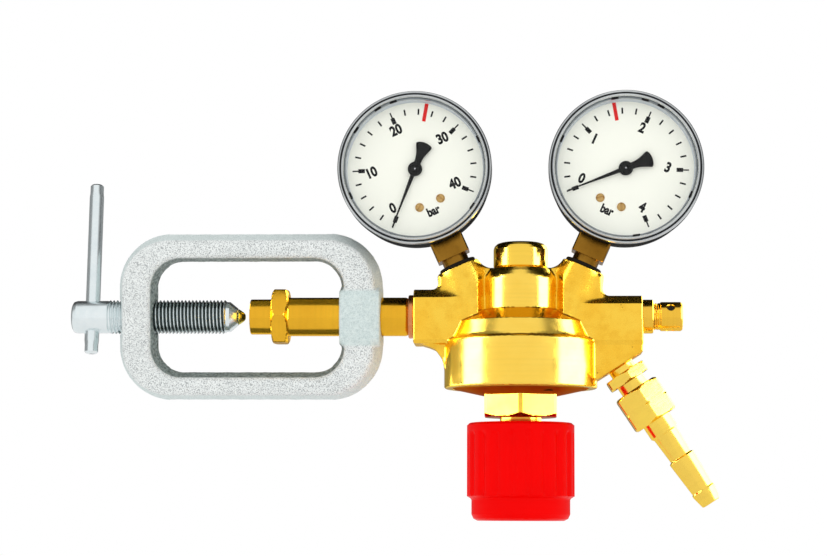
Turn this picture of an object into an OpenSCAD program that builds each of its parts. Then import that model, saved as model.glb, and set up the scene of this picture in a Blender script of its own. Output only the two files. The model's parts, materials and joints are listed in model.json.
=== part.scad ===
// Acetylene cylinder regulator with a clamp yoke.
// Origin: centre of the inlet nose's end face. +X runs along the inlet towards the body, +Z is up.

/* [Inlet] */
// Diameter of the nose that enters the cylinder valve
nose_d = 14.6; // [12:0.1:16]
// Length of the nose
nose_l = 9.2; // [6:0.1:12]
// Diameter of the round stem
stem_d = 16; // [15:0.1:18]
// Width across flats of the stem's hexagon collar
collar_af = 22; // [20:0.5:24]
// Distance from the nose to the face of the body's inlet boss
inlet_l = 68; // [64:0.5:74]

/* [Body] */
// Distance from the nose to the regulator's vertical axis
body_x = 112; // [108:0.5:120]
// Diameter of the forged core
core_d = 30.6; // [28:0.1:34]
// Diameter of the bonnet's drum
drum_d = 63; // [60:0.5:68]
// Width across flats of the bonnet's hexagon
bonnet_af = 29.5; // [29:0.5:32]
// Diameter of the valve plug on top
plug_d = 22.3; // [20:0.1:25]

/* [Knob] */
// Largest diameter of the adjusting knob
knob_d = 44.2; // [42:0.1:50]
// Height of the adjusting knob
knob_h = 40; // [36:0.5:44]
// Number of finger flutes
knob_flutes = 20; // [12:1:24]

/* [Gauges] */
// Diameter of the gauge bezel
bezel_d = 63.5; // [60:0.5:64]
// Distance of a gauge's centre from the vertical axis
gauge_x = 43.3; // [41:0.1:46]
// Height of the gauge centres
gauge_z = 60; // [58:0.5:64]
// Outward lean of each gauge
gauge_tilt = 24; // [22:0.5:26]

/* [Clamp yoke] */
// Length of the yoke
yoke_l = 109.6; // [104:0.2:112]
// Height of the yoke
yoke_w = 68.8; // [66:0.2:72]
// Thickness of the yoke
yoke_t = 24; // [22:0.5:26]
// Nominal diameter of the clamp screw's thread
screw_d = 14; // [12:0.5:16]
// Length of the tommy bar
bar_l = 72; // [64:1:80]
// Swivel of the yoke about the stem
yoke_turn = 7; // [0:1:20]

/* [Outlet] */
// Angle of the outlet from straight down
outlet_tilt = 33.5; // [30:0.5:38]
// Width across flats of the union nut
union_af = 19; // [18:0.5:21]

/* [Hidden] */

$fn = 96;
brass = "goldenrod";
steel = "lightsteelblue";
pitch = 1.5; // of the clamp screw and of the adjusting spindle
fit = 0.05; // radial clearance of a running fit
eps = 0.01;

// Levels along the vertical axis, from the top down
plug_z = 20;
core_top = 15.4;
shoulder_z = 1.5;
shoulder_r = 26;
flange_z = -3.5;
flange_r = 29;
joint_z = -9.8;
chamber_z = -9;
diaphragm_z = -16;
diaphragm_t = 1;
ledge_z = -18;
drum_z = -10;
drum_end = -29.9;
hex_z = -32.7;
hex_end = -41.7;
neck_end = -52;
knob_z = -44;
knob_step = 30.5;
spring_top = -19.5;
spring_end = -35.5;
button_end = -38;
valve_z = 7; // top of the valve seat insert
orifice_lip = 0.6;

// The bore radii that two pieces share
plug_thread_r = 8;
seat_r = 7;
ring_r = 28;
diaphragm_r = 27.9;
spring_chamber_r = 12.4;
wide_chamber_r = 22;
spindle_r = 5;
guide_r = 2;
stem_thread_r = 7;
stem_thread_end = inlet_l + 14;
gas_r = 2.5;

// Right side: relief valve and outlet
relief_x = 162;
relief_spigot_x = 150;
relief_r = 7;
relief_cap_r = 5.75;
outlet_face = [153.2, 0, -20.9];
outlet_thread_r = 6;
outlet_depth = 12;
nut_from = 10.7;
nut_l = 15.5;
nut_thread_r = 7.5;
nut_lip = 2.2;
tail_r = 6.2;
nipple_end = 20;

// Gauge levels along the gauge's own axis, measured towards the reader
bezel_front = 19;
window_front = 16.2;
window_back = 14.4;
dial_front = 11.2;
dial_back = 10.4;
case_back = -8;
case_r = 30.8;
case_wall = 1.4;
arbor_r = 0.6;
sector_arm = 12;
sector_at = [6, -10.39];
socket_end = -38.7;
boss_face = -43.2;
boss_thread_r = 6.6;
tube_r = 22;
tube_from = -25;
tube_to = 262;

// Yoke levels
window_left = -39;
window_right = 38;
window_half = 23;
yoke_draft = 3.3;
window_draft = 2;
screw_head_x = -74.6;
screw_thread_x = -59;
screw_end = -10.2;
screw_cone_end = -5.2;
tip_x = -2.2;
bar_x = -66.5;
bar_r = 3;
bar_top = 56.7;
bar_turn = -6;

module at_axis() translate([body_x, 0, 0]) children();

module at_gauge(side) {
    translate([body_x + side * gauge_x, 0, gauge_z]) rotate([0, side * gauge_tilt, 0]) children();
}

module at_outlet() translate(outlet_face) rotate([0, -outlet_tilt, 0]) children();

module at_yoke() rotate([yoke_turn, 0, 0]) children();

// A cylinder along +X
module x_rod(r, from, to) translate([from, 0, 0]) rotate([0, 90, 0]) cylinder(r = r, h = to - from);

// A cylinder along +Z
module z_rod(r, from, to) translate([0, 0, from]) cylinder(r = r, h = to - from);

// A cylinder between two points of the middle plane
module drill(p, q, r) {
    translate(p) rotate([0, atan2(q.x - p.x, q.z - p.z), 0]) cylinder(r = r, h = norm(q - p), $fn = 32);
}

// A hexagon prism along +Z with its corners chamfered at both ends
module hex_prism(af, from, to, chamfer) {
    corner = af / 2 / cos(30);
    intersection() {
        translate([0, 0, from]) rotate(30) cylinder(r = corner, h = to - from, $fn = 6);
        rotate_extrude() polygon([[0, from], [corner - chamfer * 1.7, from], [corner, from + chamfer],
            [corner, to - chamfer], [corner - chamfer * 1.7, to], [0, to]]);
    }
}

// A threaded rod along +Z: one V groove for each turn
module threaded_rod(r, from, to) {
    depth = 0.55 * pitch;
    turns = floor((to - from) / pitch);
    rotate_extrude() polygon(concat([[0, from]],
        [for (i = [0 : turns - 1], p = [[r - depth, 0], [r, 0.42], [r, 0.58]])
            [p.x, from + (i + p.y) * pitch]],
        [[r - depth, from + turns * pitch], [r - depth, to], [0, to]]));
}

// A round-wire spring along +Z
module coil_spring(r, wire_r, turns, len) {
    sides = 8;
    steps = ceil(turns * 18);
    rise = len - 2 * wire_r;
    rings = [for (i = [0 : steps], j = [0 : sides - 1])
        let (a = 360 * turns * i / steps, b = 360 * j / sides)
        [(r + wire_r * cos(b)) * cos(a), (r + wire_r * cos(b)) * sin(a),
            wire_r * (1 + sin(b)) + rise * i / steps]];
    skin = [for (i = [0 : steps - 1], j = [0 : sides - 1])
        let (k = (j + 1) % sides)
        [i * sides + j, (i + 1) * sides + j, (i + 1) * sides + k, i * sides + k]];
    ends = [[for (j = [0 : sides - 1]) j], [for (j = [sides - 1 : -1 : 0]) steps * sides + j]];
    polyhedron(rings, concat(skin, ends));
}

// ---- Inlet ----

module inlet_stem() {
    color(brass) difference() {
        union() {
            x_rod(nose_d / 2, 0, nose_l);
            rotate([0, 90, 0]) hex_prism(collar_af, nose_l, 16, 1.5);
            x_rod(stem_d / 2, 16 - eps, 65.7);
            x_rod(stem_thread_r, 65.7 - eps, stem_thread_end);
        }
        x_rod(gas_r, -1, stem_thread_end + 1);
        x_rod(5, -1, 1.6);
        x_rod(3.6, 1, 14);
    }
}

module inlet_gasket() {
    color("dimgray") difference() {
        x_rod(5, 0, 1.6);
        x_rod(gas_r, -1, 2);
    }
}

module inlet_filter() {
    color("peru") difference() {
        x_rod(3.6, 1.6, 14);
        x_rod(1.5, 3.5, 15);
    }
}

module inlet_seal_washer() {
    color("chocolate") difference() {
        x_rod(9, 65.7, inlet_l);
        x_rod(stem_thread_r, 65, inlet_l + 1);
    }
}

// ---- Body ----

module gauge_boss(side) {
    at_gauge(side) translate([0, 0, -gauge_z / cos(gauge_tilt)])
        cylinder(r1 = 10.5, r2 = 8.75, h = gauge_z / cos(gauge_tilt) + boss_face);
}

// A plate of the given thickness in the middle plane
module plate(thickness, outline) {
    translate([0, thickness / 2, 0]) rotate([90, 0, 0]) linear_extrude(thickness) polygon(outline);
}

// Fills the corner between a gauge boss and the body
module gauge_web(side) {
    at_axis() plate(10, [[0, 0], [side * 23, 0], [side * 22, 22], [side * 10, 19.6], [0, 19.6]]);
    at_axis() plate(13, [[side * 8, 2], [side * 33.8, 8], [side * 33.8, 16.6], [side * 22, 16.6]]);
}

// Forged block along X: flat front and back, with long chamfers above and short ones below
module forged_block(from, to, half, low, high, slope) {
    flat = half - 4;
    edge = 1.2;
    translate([from, 0, 0]) rotate([90, 0, 90]) linear_extrude(to - from)
        polygon([[-half, low + edge], [edge - half, low], [half - edge, low], [half, low + edge],
            [half, high - slope], [flat, high], [-flat, high], [-half, high - slope]]);
}

module outlet_lug() {
    plate(18.4, [[130, -2], [relief_x, -2], [relief_x, -15], [144, -26.3], [130, -26.3]]);
}

// Fills the corner between the inlet boss and the drum
module inlet_web() {
    plate(14, [[72.5, -9], [90, -9], [90, -22], [81, -22], [79.6, -17.6], [77, -14], [72.5, -11.6]]);
}

module body_core() {
    r = core_d / 2;
    drum_r = drum_d / 2;
    rotate_extrude() polygon([[0, drum_end], [drum_r - 0.6, drum_end], [drum_r, drum_end + 0.6],
        [drum_r, drum_z - 0.5], [drum_r - 0.5, drum_z], [flange_r, joint_z],
        [shoulder_r, flange_z], [r + 3, shoulder_z - 1], [r, shoulder_z + 1], [r, core_top],
        [r - 0.4, core_top + 1.2], [r - 1.4, core_top + 2.8], [r - 2.8, core_top + 4],
        [plug_d / 2, plug_z], [0, plug_z]]);
}

module body_forging() {
    forged_block(inlet_l, body_x - 8, 10.5, -11.7, 11.5, 2.8);
    forged_block(body_x + 8, relief_x, 10, -11.7, 8.8, 3);
    for (side = [-1, 1]) {
        gauge_boss(side);
        gauge_web(side);
    }
    outlet_lug();
    inlet_web();
    at_axis() body_core();
}

module body_passages() {
    supply_boss = [91.1, 0, 9.6];
    delivery_boss = [132.9, 0, 9.6];
    gallery = [133, 0, -4.5];
    translate(gallery) sphere(r = 3.2);
    drill([stem_thread_end - 1, 0, 0], [106, 0, 9], gas_r);
    drill(supply_boss, [106, 0, 9.6], 1.5);
    drill(delivery_boss, gallery, 1.5);
    drill(gallery, [127, 0, -12], gas_r);
    drill([146.6, 0, -10.9], gallery, gas_r);
    drill([relief_spigot_x + 1, 0, 0], gallery, 1.5);
}

module main_body() {
    color(brass) difference() {
        body_forging();
        at_axis() z_rod(plug_thread_r, valve_z, plug_z + 1);
        at_axis() z_rod(seat_r, valve_z - 4, valve_z + 1);
        at_axis() z_rod(3.5, chamber_z - 1, valve_z);
        at_axis() z_rod(24, diaphragm_z - 1, chamber_z);
        at_axis() z_rod(ring_r, drum_end - 1, diaphragm_z);
        x_rod(stem_thread_r, inlet_l - 1, stem_thread_end);
        x_rod(relief_r, relief_spigot_x, relief_x + 1);
        at_outlet() z_rod(outlet_thread_r, -5, outlet_depth);
        for (side = [-1, 1])
            at_gauge(side) z_rod(boss_thread_r, boss_face - 12, boss_face + 1);
        body_passages();
    }
}

module valve_plug() {
    color(brass) at_axis() difference() {
        union() {
            rotate_extrude() polygon([[0, plug_z], [plug_d / 2, plug_z], [plug_d / 2, 28],
                [plug_d / 2 - 0.5, 29.2], [plug_d / 2 - 1.6, 30.2], [plug_d / 2 - 3, 30.6], [0, 30.6]]);
            z_rod(plug_thread_r, 13, plug_z + eps);
        }
        z_rod(4.5, 12, 17);
        z_rod(guide_r + fit, 16, 24);
    }
}

module valve_seat() {
    color("tan") at_axis() difference() {
        union() {
            z_rod(seat_r, valve_z - 4, valve_z);
            z_rod(3, valve_z - eps, valve_z + orifice_lip);
        }
        z_rod(1.8, 0, valve_z + 1);
    }
}

module valve_poppet() {
    color("silver") at_axis() {
        z_rod(1.2, diaphragm_z + 2.1, valve_z + orifice_lip + eps);
        z_rod(4, valve_z + orifice_lip, 10.6);
        z_rod(guide_r, 10.6 - eps, 20);
    }
}

module valve_spring() {
    color("silver") at_axis() translate([0, 0, 10.6]) coil_spring(3.2, 0.4, 4.5, 6.4);
}

// ---- Bonnet and what it holds ----

module bonnet() {
    color(brass) at_axis() difference() {
        union() {
            rotate_extrude() polygon([[0, ledge_z], [ring_r, ledge_z], [ring_r, drum_end + 0.3],
                [ring_r - 0.8, drum_end - 0.4], [16, hex_z], [0, hex_z]]);
            hex_prism(bonnet_af, hex_end, hex_z + 2, 1.4);
            z_rod(8.5, neck_end, hex_end + eps);
        }
        z_rod(wide_chamber_r, -26.5, ledge_z + 1);
        z_rod(spring_chamber_r, button_end - 0.3, ledge_z);
        z_rod(spindle_r + fit, neck_end - 1, button_end);
        translate([11, -17, -36]) cylinder(r = 1.5, h = 12, $fn = 24);
    }
}

module diaphragm() {
    color("black") at_axis() difference() {
        z_rod(diaphragm_r, diaphragm_z - diaphragm_t, diaphragm_z);
        z_rod(2.05, -20, -10);
    }
}

module slip_ring() {
    color("gold") at_axis() difference() {
        z_rod(diaphragm_r, ledge_z, diaphragm_z - diaphragm_t);
        z_rod(wide_chamber_r + 0.5, -20, -10);
    }
}

module diaphragm_plate() {
    below = diaphragm_z - diaphragm_t;
    color("silver") at_axis() {
        z_rod(12, diaphragm_z, diaphragm_z + 2);
        z_rod(2, spring_top, diaphragm_z + 1);
        z_rod(15, spring_top, below);
        z_rod(7, spring_top - 1.5, spring_top + eps);
    }
}

module main_spring() {
    color("dimgray") at_axis() translate([0, 0, spring_end]) coil_spring(9.6, 1, 4.5, spring_top - spring_end);
}

module spring_button() {
    color("silver") at_axis() {
        z_rod(11, button_end, spring_end);
        z_rod(7.6, spring_end - eps, spring_end + 1.5);
    }
}

module adjusting_spindle() {
    color("silver") at_axis() {
        translate([0, 0, button_end - 1.5]) cylinder(r1 = spindle_r - 0.9, r2 = 3, h = 1.5);
        threaded_rod(spindle_r, -79.5, button_end - 1.5 + eps);
    }
}

module knob() {
    r = knob_d / 2;
    lower_r = r - 1.85;
    step_z = knob_z - knob_step;
    end_z = knob_z - knob_h;
    flute_r = 4.5;
    color("red") at_axis() difference() {
        rotate_extrude() polygon([[0, end_z], [lower_r - 2.2, end_z], [lower_r - 0.8, end_z + 0.6],
            [lower_r, end_z + 2.2], [lower_r, step_z - 0.6], [r, step_z], [r, knob_z - 0.8],
            [r - 0.8, knob_z], [0, knob_z]]);
        z_rod(17.6, -62, knob_z + 1);
        z_rod(spindle_r, -79.5, -60);
        for (i = [0 : knob_flutes - 1])
            rotate((i + 0.5) * 360 / knob_flutes) translate([r + 3.6, 0, step_z - 0.3])
                cylinder(r = flute_r, h = knob_step + 1, $fn = 32);
    }
}

// ---- Relief valve ----

module relief_body() {
    color(brass) difference() {
        union() {
            x_rod(relief_r, relief_spigot_x, relief_x);
            x_rod(7, relief_x - eps, 166.6);
        }
        x_rod(relief_cap_r, 154, 167);
        x_rod(1.5, relief_spigot_x - 1, 155);
    }
}

module relief_cap() {
    color(brass) difference() {
        union() {
            translate([158, 0, 0]) rotate([0, 90, 0]) threaded_rod(relief_cap_r, 0, 11.6);
            x_rod(6, 169.5, 178.2);
            x_rod(5.5, 178, 178.7);
        }
        x_rod(4, 157, 176.5);
        for (angle = [55, 175, 295])
            translate([173.7, 0, 0]) rotate([angle, 0, 0]) cylinder(r = 1.65, h = 10, $fn = 32);
    }
}

module relief_poppet() {
    color("silver") {
        x_rod(5, 154, 156);
        x_rod(3.9, 156 - eps, 157.8);
        x_rod(1.6, 157.8 - eps, 164);
    }
}

module relief_spring() {
    color("silver") translate([157.8, 0, 0]) rotate([0, 90, 0]) coil_spring(3.1, 0.4, 7, 18.7);
}

// ---- Outlet ----

module outlet_nipple() {
    color(brass) at_outlet() difference() {
        union() {
            z_rod(outlet_thread_r, -0.5, outlet_depth);
            z_rod(5.5, -3, 0);
            hex_prism(17.4, -6.8, -2.5, 0.8);
            z_rod(6, -12.5, -6.8 + eps);
            translate([0, 0, -nipple_end]) threaded_rod(nut_thread_r, 0, nipple_end - 12);
        }
        z_rod(gas_r, -30, 15);
    }
}

module nut_notch(angle) {
    corner = union_af / 2 / cos(30);
    rotate(angle) translate([corner, 0, -nut_from - nut_l / 2]) rotate([0, 90, 0])
        translate([0, 0, -1.1]) cylinder(r = 1.4, h = 3, $fn = 4);
}

module union_nut() {
    color(brass) at_outlet() difference() {
        hex_prism(union_af, -nut_from - nut_l, -nut_from, 1.3);
        z_rod(nut_thread_r + fit, -nut_from - nut_l + nut_lip, 0);
        z_rod(tail_r + fit, -40, 0);
        for (i = [0 : 5])
            nut_notch(60 * i + 30);
    }
}

module hose_barb() {
    start = nut_from + nut_l;
    head = start - nut_lip;
    barbs = [[5.4, 4.8, 11.5], [5.75, 4.8, 15.8], [5.2, 4.05, 6.5]];
    b1 = start + 6.5;
    b2 = b1 + 11.5;
    b3 = b2 + 15.8;
    tip = b3 + 6.5;
    color(brass) at_outlet() difference() {
        rotate_extrude() polygon([[0, -nipple_end], [6, -nipple_end], [7.2, -nipple_end - 1.4],
            [7.2, -head], [tail_r, -head], [tail_r, -b1 + 0.6], [tail_r - 0.6, -b1],
            [barbs[0][0], -b1], [barbs[0][1], -b2], [barbs[1][0], -b2 - 0.2],
            [barbs[1][1], -b3], [barbs[2][0], -b3 - 0.2], [barbs[2][0], -b3 - 1.2],
            [barbs[2][1], -tip], [0, -tip]]);
        z_rod(gas_r, -80, 0);
        translate([0, 0, -tip - eps]) cylinder(r1 = gas_r + 0.8, r2 = gas_r, h = 0.9);
    }
}

// ---- Clamp yoke ----

// A rectangle with round corners
module round_rect(x0, x1, half, r) {
    union() {
        translate([x0 + r, -half]) square([x1 - x0 - 2 * r, 2 * half]);
        translate([x0, -half + r]) square([x1 - x0, 2 * half - 2 * r]);
        for (x = [x0 + r, x1 - r], y = [-half + r, half - r])
            translate([x, y]) circle(r = r, $fn = 64);
    }
}

// Half of a drafted slab, from the parting plane at z = 0 up
module drafted(x0, x1, half, r, draft) {
    middle = (x0 + x1) / 2;
    reach = (x1 - x0) / 2;
    translate([middle, 0, 0])
        linear_extrude(yoke_t / 2, slices = 1, scale = [(reach - draft) / reach, (half - draft) / half])
            round_rect(-reach, reach, half, r);
}

module both_halves() {
    children();
    mirror([0, 0, 1]) children();
}

module yoke() {
    color("lightgray") at_yoke() difference() {
        union() {
            rotate([90, 0, 0]) difference() {
                both_halves() drafted(-yoke_l / 2, yoke_l / 2, yoke_w / 2, 22, yoke_draft);
                both_halves() drafted(window_left, window_right, window_half, 11, -window_draft);
            }
            translate([window_right - 0.6, 0, 0]) rotate([90, 0, 90])
                linear_extrude(yoke_l / 2 - window_right + 0.6) round_rect(-12.3, 12.3, 11.6, 4);
        }
        x_rod(stem_d / 2 + 0.08, 20, 70);
        x_rod(screw_d / 2 + 0.06, -70, -20);
    }
}

module clamp_screw() {
    head_r = 6.75;
    color(steel) at_yoke() difference() {
        union() {
            rotate([0, 90, 0]) rotate_extrude() polygon([[0, screw_head_x], [head_r - 1.6, screw_head_x],
                [head_r - 0.5, screw_head_x + 0.6], [head_r, screw_head_x + 2],
                [head_r, screw_thread_x - 0.5], [head_r - 0.5, screw_thread_x], [0, screw_thread_x]]);
            translate([screw_thread_x - eps, 0, 0]) rotate([0, 90, 0])
                threaded_rod(screw_d / 2, 0, screw_end - screw_thread_x);
            rotate([0, 90, 0]) rotate_extrude() polygon([[0, screw_end - eps], [6.2, screw_end - eps],
                [6.2, -8.4], [3.4, screw_cone_end], [0, screw_cone_end]]);
        }
        x_rod(2.1, -17, 0);
        rotate([-yoke_turn, 0, 0]) translate([bar_x, 0, 0]) rotate([bar_turn, 0, 0])
            translate([0, 0, -15]) cylinder(r = bar_r + fit, h = 30);
    }
}

module clamp_tip() {
    color(brass) at_yoke() rotate([0, 90, 0]) rotate_extrude() polygon([[0, -16.5], [2, -16.5],
        [2, screw_cone_end + 0.1], [3.2, screw_cone_end + 0.1], [3.2, screw_cone_end + 0.5],
        [1.8, tip_x - 0.6], [1, tip_x - 0.1], [0, tip_x]]);
}

module tommy_bar() {
    color(steel) translate([bar_x, 0, 0]) rotate([bar_turn, 0, 0]) translate([0, 0, bar_top - bar_l])
        rotate_extrude() polygon([[0, 0], [2.2, 0], [3.4, 0.8], [3.4, 2.6], [bar_r, 4.2],
            [bar_r, bar_l - 4.2], [3.4, bar_l - 2.6], [3.4, bar_l - 0.8], [2.2, bar_l], [0, bar_l]]);
}

// ---- Gauges ----

// Turns children about the gauge's axis, with their +Z towards the reader
module facing() rotate([90, 0, 0]) children();

module gauge_case(side) {
    inner = case_r - case_wall;
    color("dimgray") at_gauge(side) difference() {
        facing() rotate_extrude() polygon([[0, case_back], [case_r - 3.4, case_back],
            [case_r - 1, case_back + 1], [case_r, case_back + 3.4], [case_r, window_back],
            [inner, window_back], [inner, case_back + 3.6], [inner - 2.2, case_back + case_wall],
            [0, case_back + case_wall]]);
        z_rod(5, -32, -20);
    }
}

module gauge_bezel(side) {
    r = bezel_d / 2;
    color("silver") at_gauge(side) facing() rotate_extrude() polygon([[case_r + fit, 9],
        [r - 0.2, 9], [r, 9.4], [r, 17.4], [r - 0.4, 18.4], [r - 1.3, bezel_front],
        [r - 2.2, bezel_front - 0.1], [r - 2.9, 18.2], [r - 3.3, 17.2],
        [28.2, 17], [28.2, window_front], [case_r + fit, window_front]]);
}

module gauge_window(side) {
    color("lightcyan") at_gauge(side) facing() z_rod(30.6, window_back, window_front);
}

module screw_places() {
    for (x = [-4.7, 4.7])
        translate([x, -15.2, 0]) children();
}

module gauge_dial(side) {
    color("ivory") at_gauge(side) facing() difference() {
        z_rod(29.2, dial_back, dial_front);
        z_rod(1.3, 9, 12);
        screw_places() z_rod(1, 9, 12);
    }
}

// Spacer between the dial and the window
module gauge_dial_ring(side) {
    color("gainsboro") at_gauge(side) facing() rotate_extrude() polygon([[27.7, dial_front],
        [29.2, dial_front], [29.2, window_back], [28.5, window_back]]);
}

module gauge_dial_screws(side) {
    color(brass) at_gauge(side) facing() screw_places() difference() {
        union() {
            z_rod(1, 6.5, dial_front);
            z_rod(1.65, dial_front, dial_front + 0.8);
        }
        translate([-2, -0.2, dial_front + 0.4]) cube([4, 0.4, 1]);
    }
}

module gauge_pointer(side) {
    tip = 26;
    tail = 11.5;
    color("black") at_gauge(side) rotate([0, -135, 0]) facing() difference() {
        union() {
            translate([0, 0, 12.9]) linear_extrude(0.5) polygon([[-0.25, tip], [0.25, tip], [1.1, 2],
                [1.3, -2], [3.2, -tail + 0.5], [2.2, -tail], [-2.2, -tail], [-3.2, -tail + 0.5],
                [-1.3, -2], [-1.1, 2]]);
            z_rod(3, 12.5, 13.7);
        }
        z_rod(arbor_r, 12, 15);
    }
}

module gauge_pinion(side) {
    color("gold") at_gauge(side) rotate([0, -135, 0]) facing() {
        z_rod(arbor_r, 0.3, 14);
        difference() {
            z_rod(1.25, 2.3, 4.3);
            for (i = [0 : 7])
                rotate(45 * i) translate([1.35, 0, 2]) cylinder(r = 0.3, h = 3, $fn = 16);
        }
    }
}

// A flat sector gear on its own arbor, in mesh with the pinion at the pointer's zero
module gauge_sector(side) {
    reach = sector_arm - 1.3;
    tail = 7;
    color("gold") at_gauge(side) facing() translate(sector_at) {
        z_rod(0.8, 0.3, 7.2);
        translate([0, 0, 2.5]) linear_extrude(1.5) union() {
            circle(r = 2);
            rotate(285) translate([0, -1]) square([tail, 2]);
            rotate(285) translate([tail, 0]) circle(r = 1.3, $fn = 32);
            difference() {
                circle(r = reach);
                circle(r = reach - 2.5);
                rotate(128) translate([-40, 0]) square([80, 40]);
                rotate(82) translate([-40, -40]) square([80, 40]);
                for (a = [84 : 5 : 126])
                    rotate(a) translate([reach + 0.1, 0]) circle(r = 0.3, $fn = 16);
            }
            rotate(105) translate([0, -1.5]) square([reach - 1.2, 3]);
        }
    }
}

module gauge_link(side) {
    tail = sector_at + 7 * [cos(285), sin(285)];
    end = [19, -11.2];
    run = end - tail;
    color("gold") at_gauge(side) facing() {
        translate([tail.x, tail.y, 4]) cylinder(r = 0.9, h = 1.2, $fn = 32);
        translate([tail.x, tail.y, 4.2]) rotate(atan2(run.y, run.x)) translate([0, -0.6, 0])
            cube([norm(run), 1.2, 0.8]);
    }
}

module gauge_bourdon_tube(side) {
    color("darkgoldenrod") at_gauge(side) facing() rotate(tube_from)
        rotate_extrude(angle = tube_to - tube_from) translate([tube_r, 0]) union() {
            translate([-1.6, -3]) square([3.2, 6]);
            for (y = [-3, 3])
                translate([0, y]) circle(r = 1.6, $fn = 24);
        }
}

module gauge_movement(side) {
    color("gold") at_gauge(side) facing() difference() {
        union() {
            for (h = [0.5, 6])
                translate([-5, -16.5, h]) cube([16, 21.5, 1]);
            for (p = [[-3.5, -14.8], [-3.5, 3.5], [9.5, 3.5]])
                translate([p.x, p.y, 1]) cylinder(r = 1.1, h = 5.5, $fn = 32);
        }
        z_rod(arbor_r + fit, 0, 8);
        translate(sector_at) z_rod(0.8 + fit, 0, 8);
        screw_places() z_rod(1, 6, 8);
    }
}

module gauge_socket(side) {
    color(brass) at_gauge(side) difference() {
        union() {
            difference() {
                translate([-7, -7, socket_end]) cube([14, 14, 10]);
                facing() z_rod(case_r, -20, 20);
            }
            z_rod(5, -32, -26);
            translate([-5.5, -6, -29]) cube([11, 10, 12.4]);
            z_rod(5.5, boss_face, socket_end + eps);
            translate([0, 0, boss_face - 10.5]) threaded_rod(boss_thread_r - 0.1, 0, 10.5 + eps);
        }
        z_rod(1.5, -60, -24);
    }
}

module gauge_washer(side) {
    color("dimgray") at_gauge(side) difference() {
        z_rod(7.75, boss_face, boss_face + 1.5);
        z_rod(boss_thread_r, -50, -40);
    }
}

main_body();
inlet_stem();
inlet_gasket();
inlet_filter();
inlet_seal_washer();
valve_plug();
bonnet();
diaphragm();
slip_ring();
diaphragm_plate();
main_spring();
spring_button();
adjusting_spindle();
knob();
valve_seat();
valve_poppet();
valve_spring();
relief_body();
relief_cap();
relief_poppet();
relief_spring();
outlet_nipple();
union_nut();
hose_barb();
yoke();
clamp_screw();
clamp_tip();
tommy_bar();
gauge_case(-1);  // supply_case
gauge_bezel(-1);  // supply_bezel
gauge_window(-1);  // supply_window
gauge_dial(-1);  // supply_dial
gauge_dial_ring(-1);  // supply_dial_ring
gauge_dial_screws(-1);  // supply_dial_screws
gauge_pointer(-1);  // supply_pointer
gauge_pinion(-1);  // supply_pinion
gauge_sector(-1);  // supply_sector
gauge_link(-1);  // supply_link
gauge_bourdon_tube(-1);  // supply_bourdon_tube
gauge_movement(-1);  // supply_movement
gauge_socket(-1);  // supply_socket
gauge_washer(-1);  // supply_washer
gauge_case(1);  // delivery_case
gauge_bezel(1);  // delivery_bezel
gauge_window(1);  // delivery_window
gauge_dial(1);  // delivery_dial
gauge_dial_ring(1);  // delivery_dial_ring
gauge_dial_screws(1);  // delivery_dial_screws
gauge_pointer(1);  // delivery_pointer
gauge_pinion(1);  // delivery_pinion
gauge_sector(1);  // delivery_sector
gauge_link(1);  // delivery_link
gauge_bourdon_tube(1);  // delivery_bourdon_tube
gauge_movement(1);  // delivery_movement
gauge_socket(1);  // delivery_socket
gauge_washer(1);  // delivery_washer
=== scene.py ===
"""Looks of the cylinder regulator with a clamp yoke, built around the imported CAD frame."""
import json
import math

import bpy
import numpy as np
import openvdb as vdb
from mathutils import Matrix, Vector

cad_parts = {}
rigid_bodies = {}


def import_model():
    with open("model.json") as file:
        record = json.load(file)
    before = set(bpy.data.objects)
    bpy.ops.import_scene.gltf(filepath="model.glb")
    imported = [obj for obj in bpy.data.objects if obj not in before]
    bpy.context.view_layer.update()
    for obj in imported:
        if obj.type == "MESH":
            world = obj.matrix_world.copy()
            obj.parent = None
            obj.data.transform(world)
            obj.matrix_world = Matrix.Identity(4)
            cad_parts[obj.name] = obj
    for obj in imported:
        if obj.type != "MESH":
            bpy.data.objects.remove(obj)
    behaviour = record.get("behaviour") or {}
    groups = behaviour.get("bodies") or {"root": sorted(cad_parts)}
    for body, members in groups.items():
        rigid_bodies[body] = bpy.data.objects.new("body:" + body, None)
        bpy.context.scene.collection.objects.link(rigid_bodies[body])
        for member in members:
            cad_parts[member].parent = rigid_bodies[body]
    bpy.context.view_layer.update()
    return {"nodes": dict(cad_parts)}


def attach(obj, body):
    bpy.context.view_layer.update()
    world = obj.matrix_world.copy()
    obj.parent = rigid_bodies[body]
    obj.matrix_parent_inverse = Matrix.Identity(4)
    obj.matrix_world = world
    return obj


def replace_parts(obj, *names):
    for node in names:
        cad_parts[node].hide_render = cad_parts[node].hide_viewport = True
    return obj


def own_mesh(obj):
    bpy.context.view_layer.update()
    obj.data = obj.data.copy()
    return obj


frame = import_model()
scene = bpy.context.scene

# Lengths are millimetres and angles degrees, except in shader nodes, the camera and the lamps.
MM = 0.001
BODY_X = 112.0                                    # the body's, the bonnet's and the knob's axis
GAUGES = {"supply": -1, "delivery": 1}            # which side of the body each gauge stands on
GAUGE_LEAN, GAUGE_OUT, GAUGE_UP = 24, 43.3, 60
OUTLET_X, OUTLET_Z, OUTLET_LEAN = 153.2, -20.9, -33.5
YOKE_ROLL, BAR_ROLL, BAR_X = 7, -6, -66.5
DIAL_TOP, SCALE_START, SCALE_STEP, SCALE_STEPS = 11.2, -135, 13.5, 20


# ---- local frames

def frame_of(origin, x_axis, y_axis, z_axis):
    m = np.eye(4)
    m[:3, 0], m[:3, 1], m[:3, 2], m[:3, 3] = x_axis, y_axis, z_axis, origin
    return m


def sin_cos(degrees):
    return math.sin(math.radians(degrees)), math.cos(math.radians(degrees))


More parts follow.
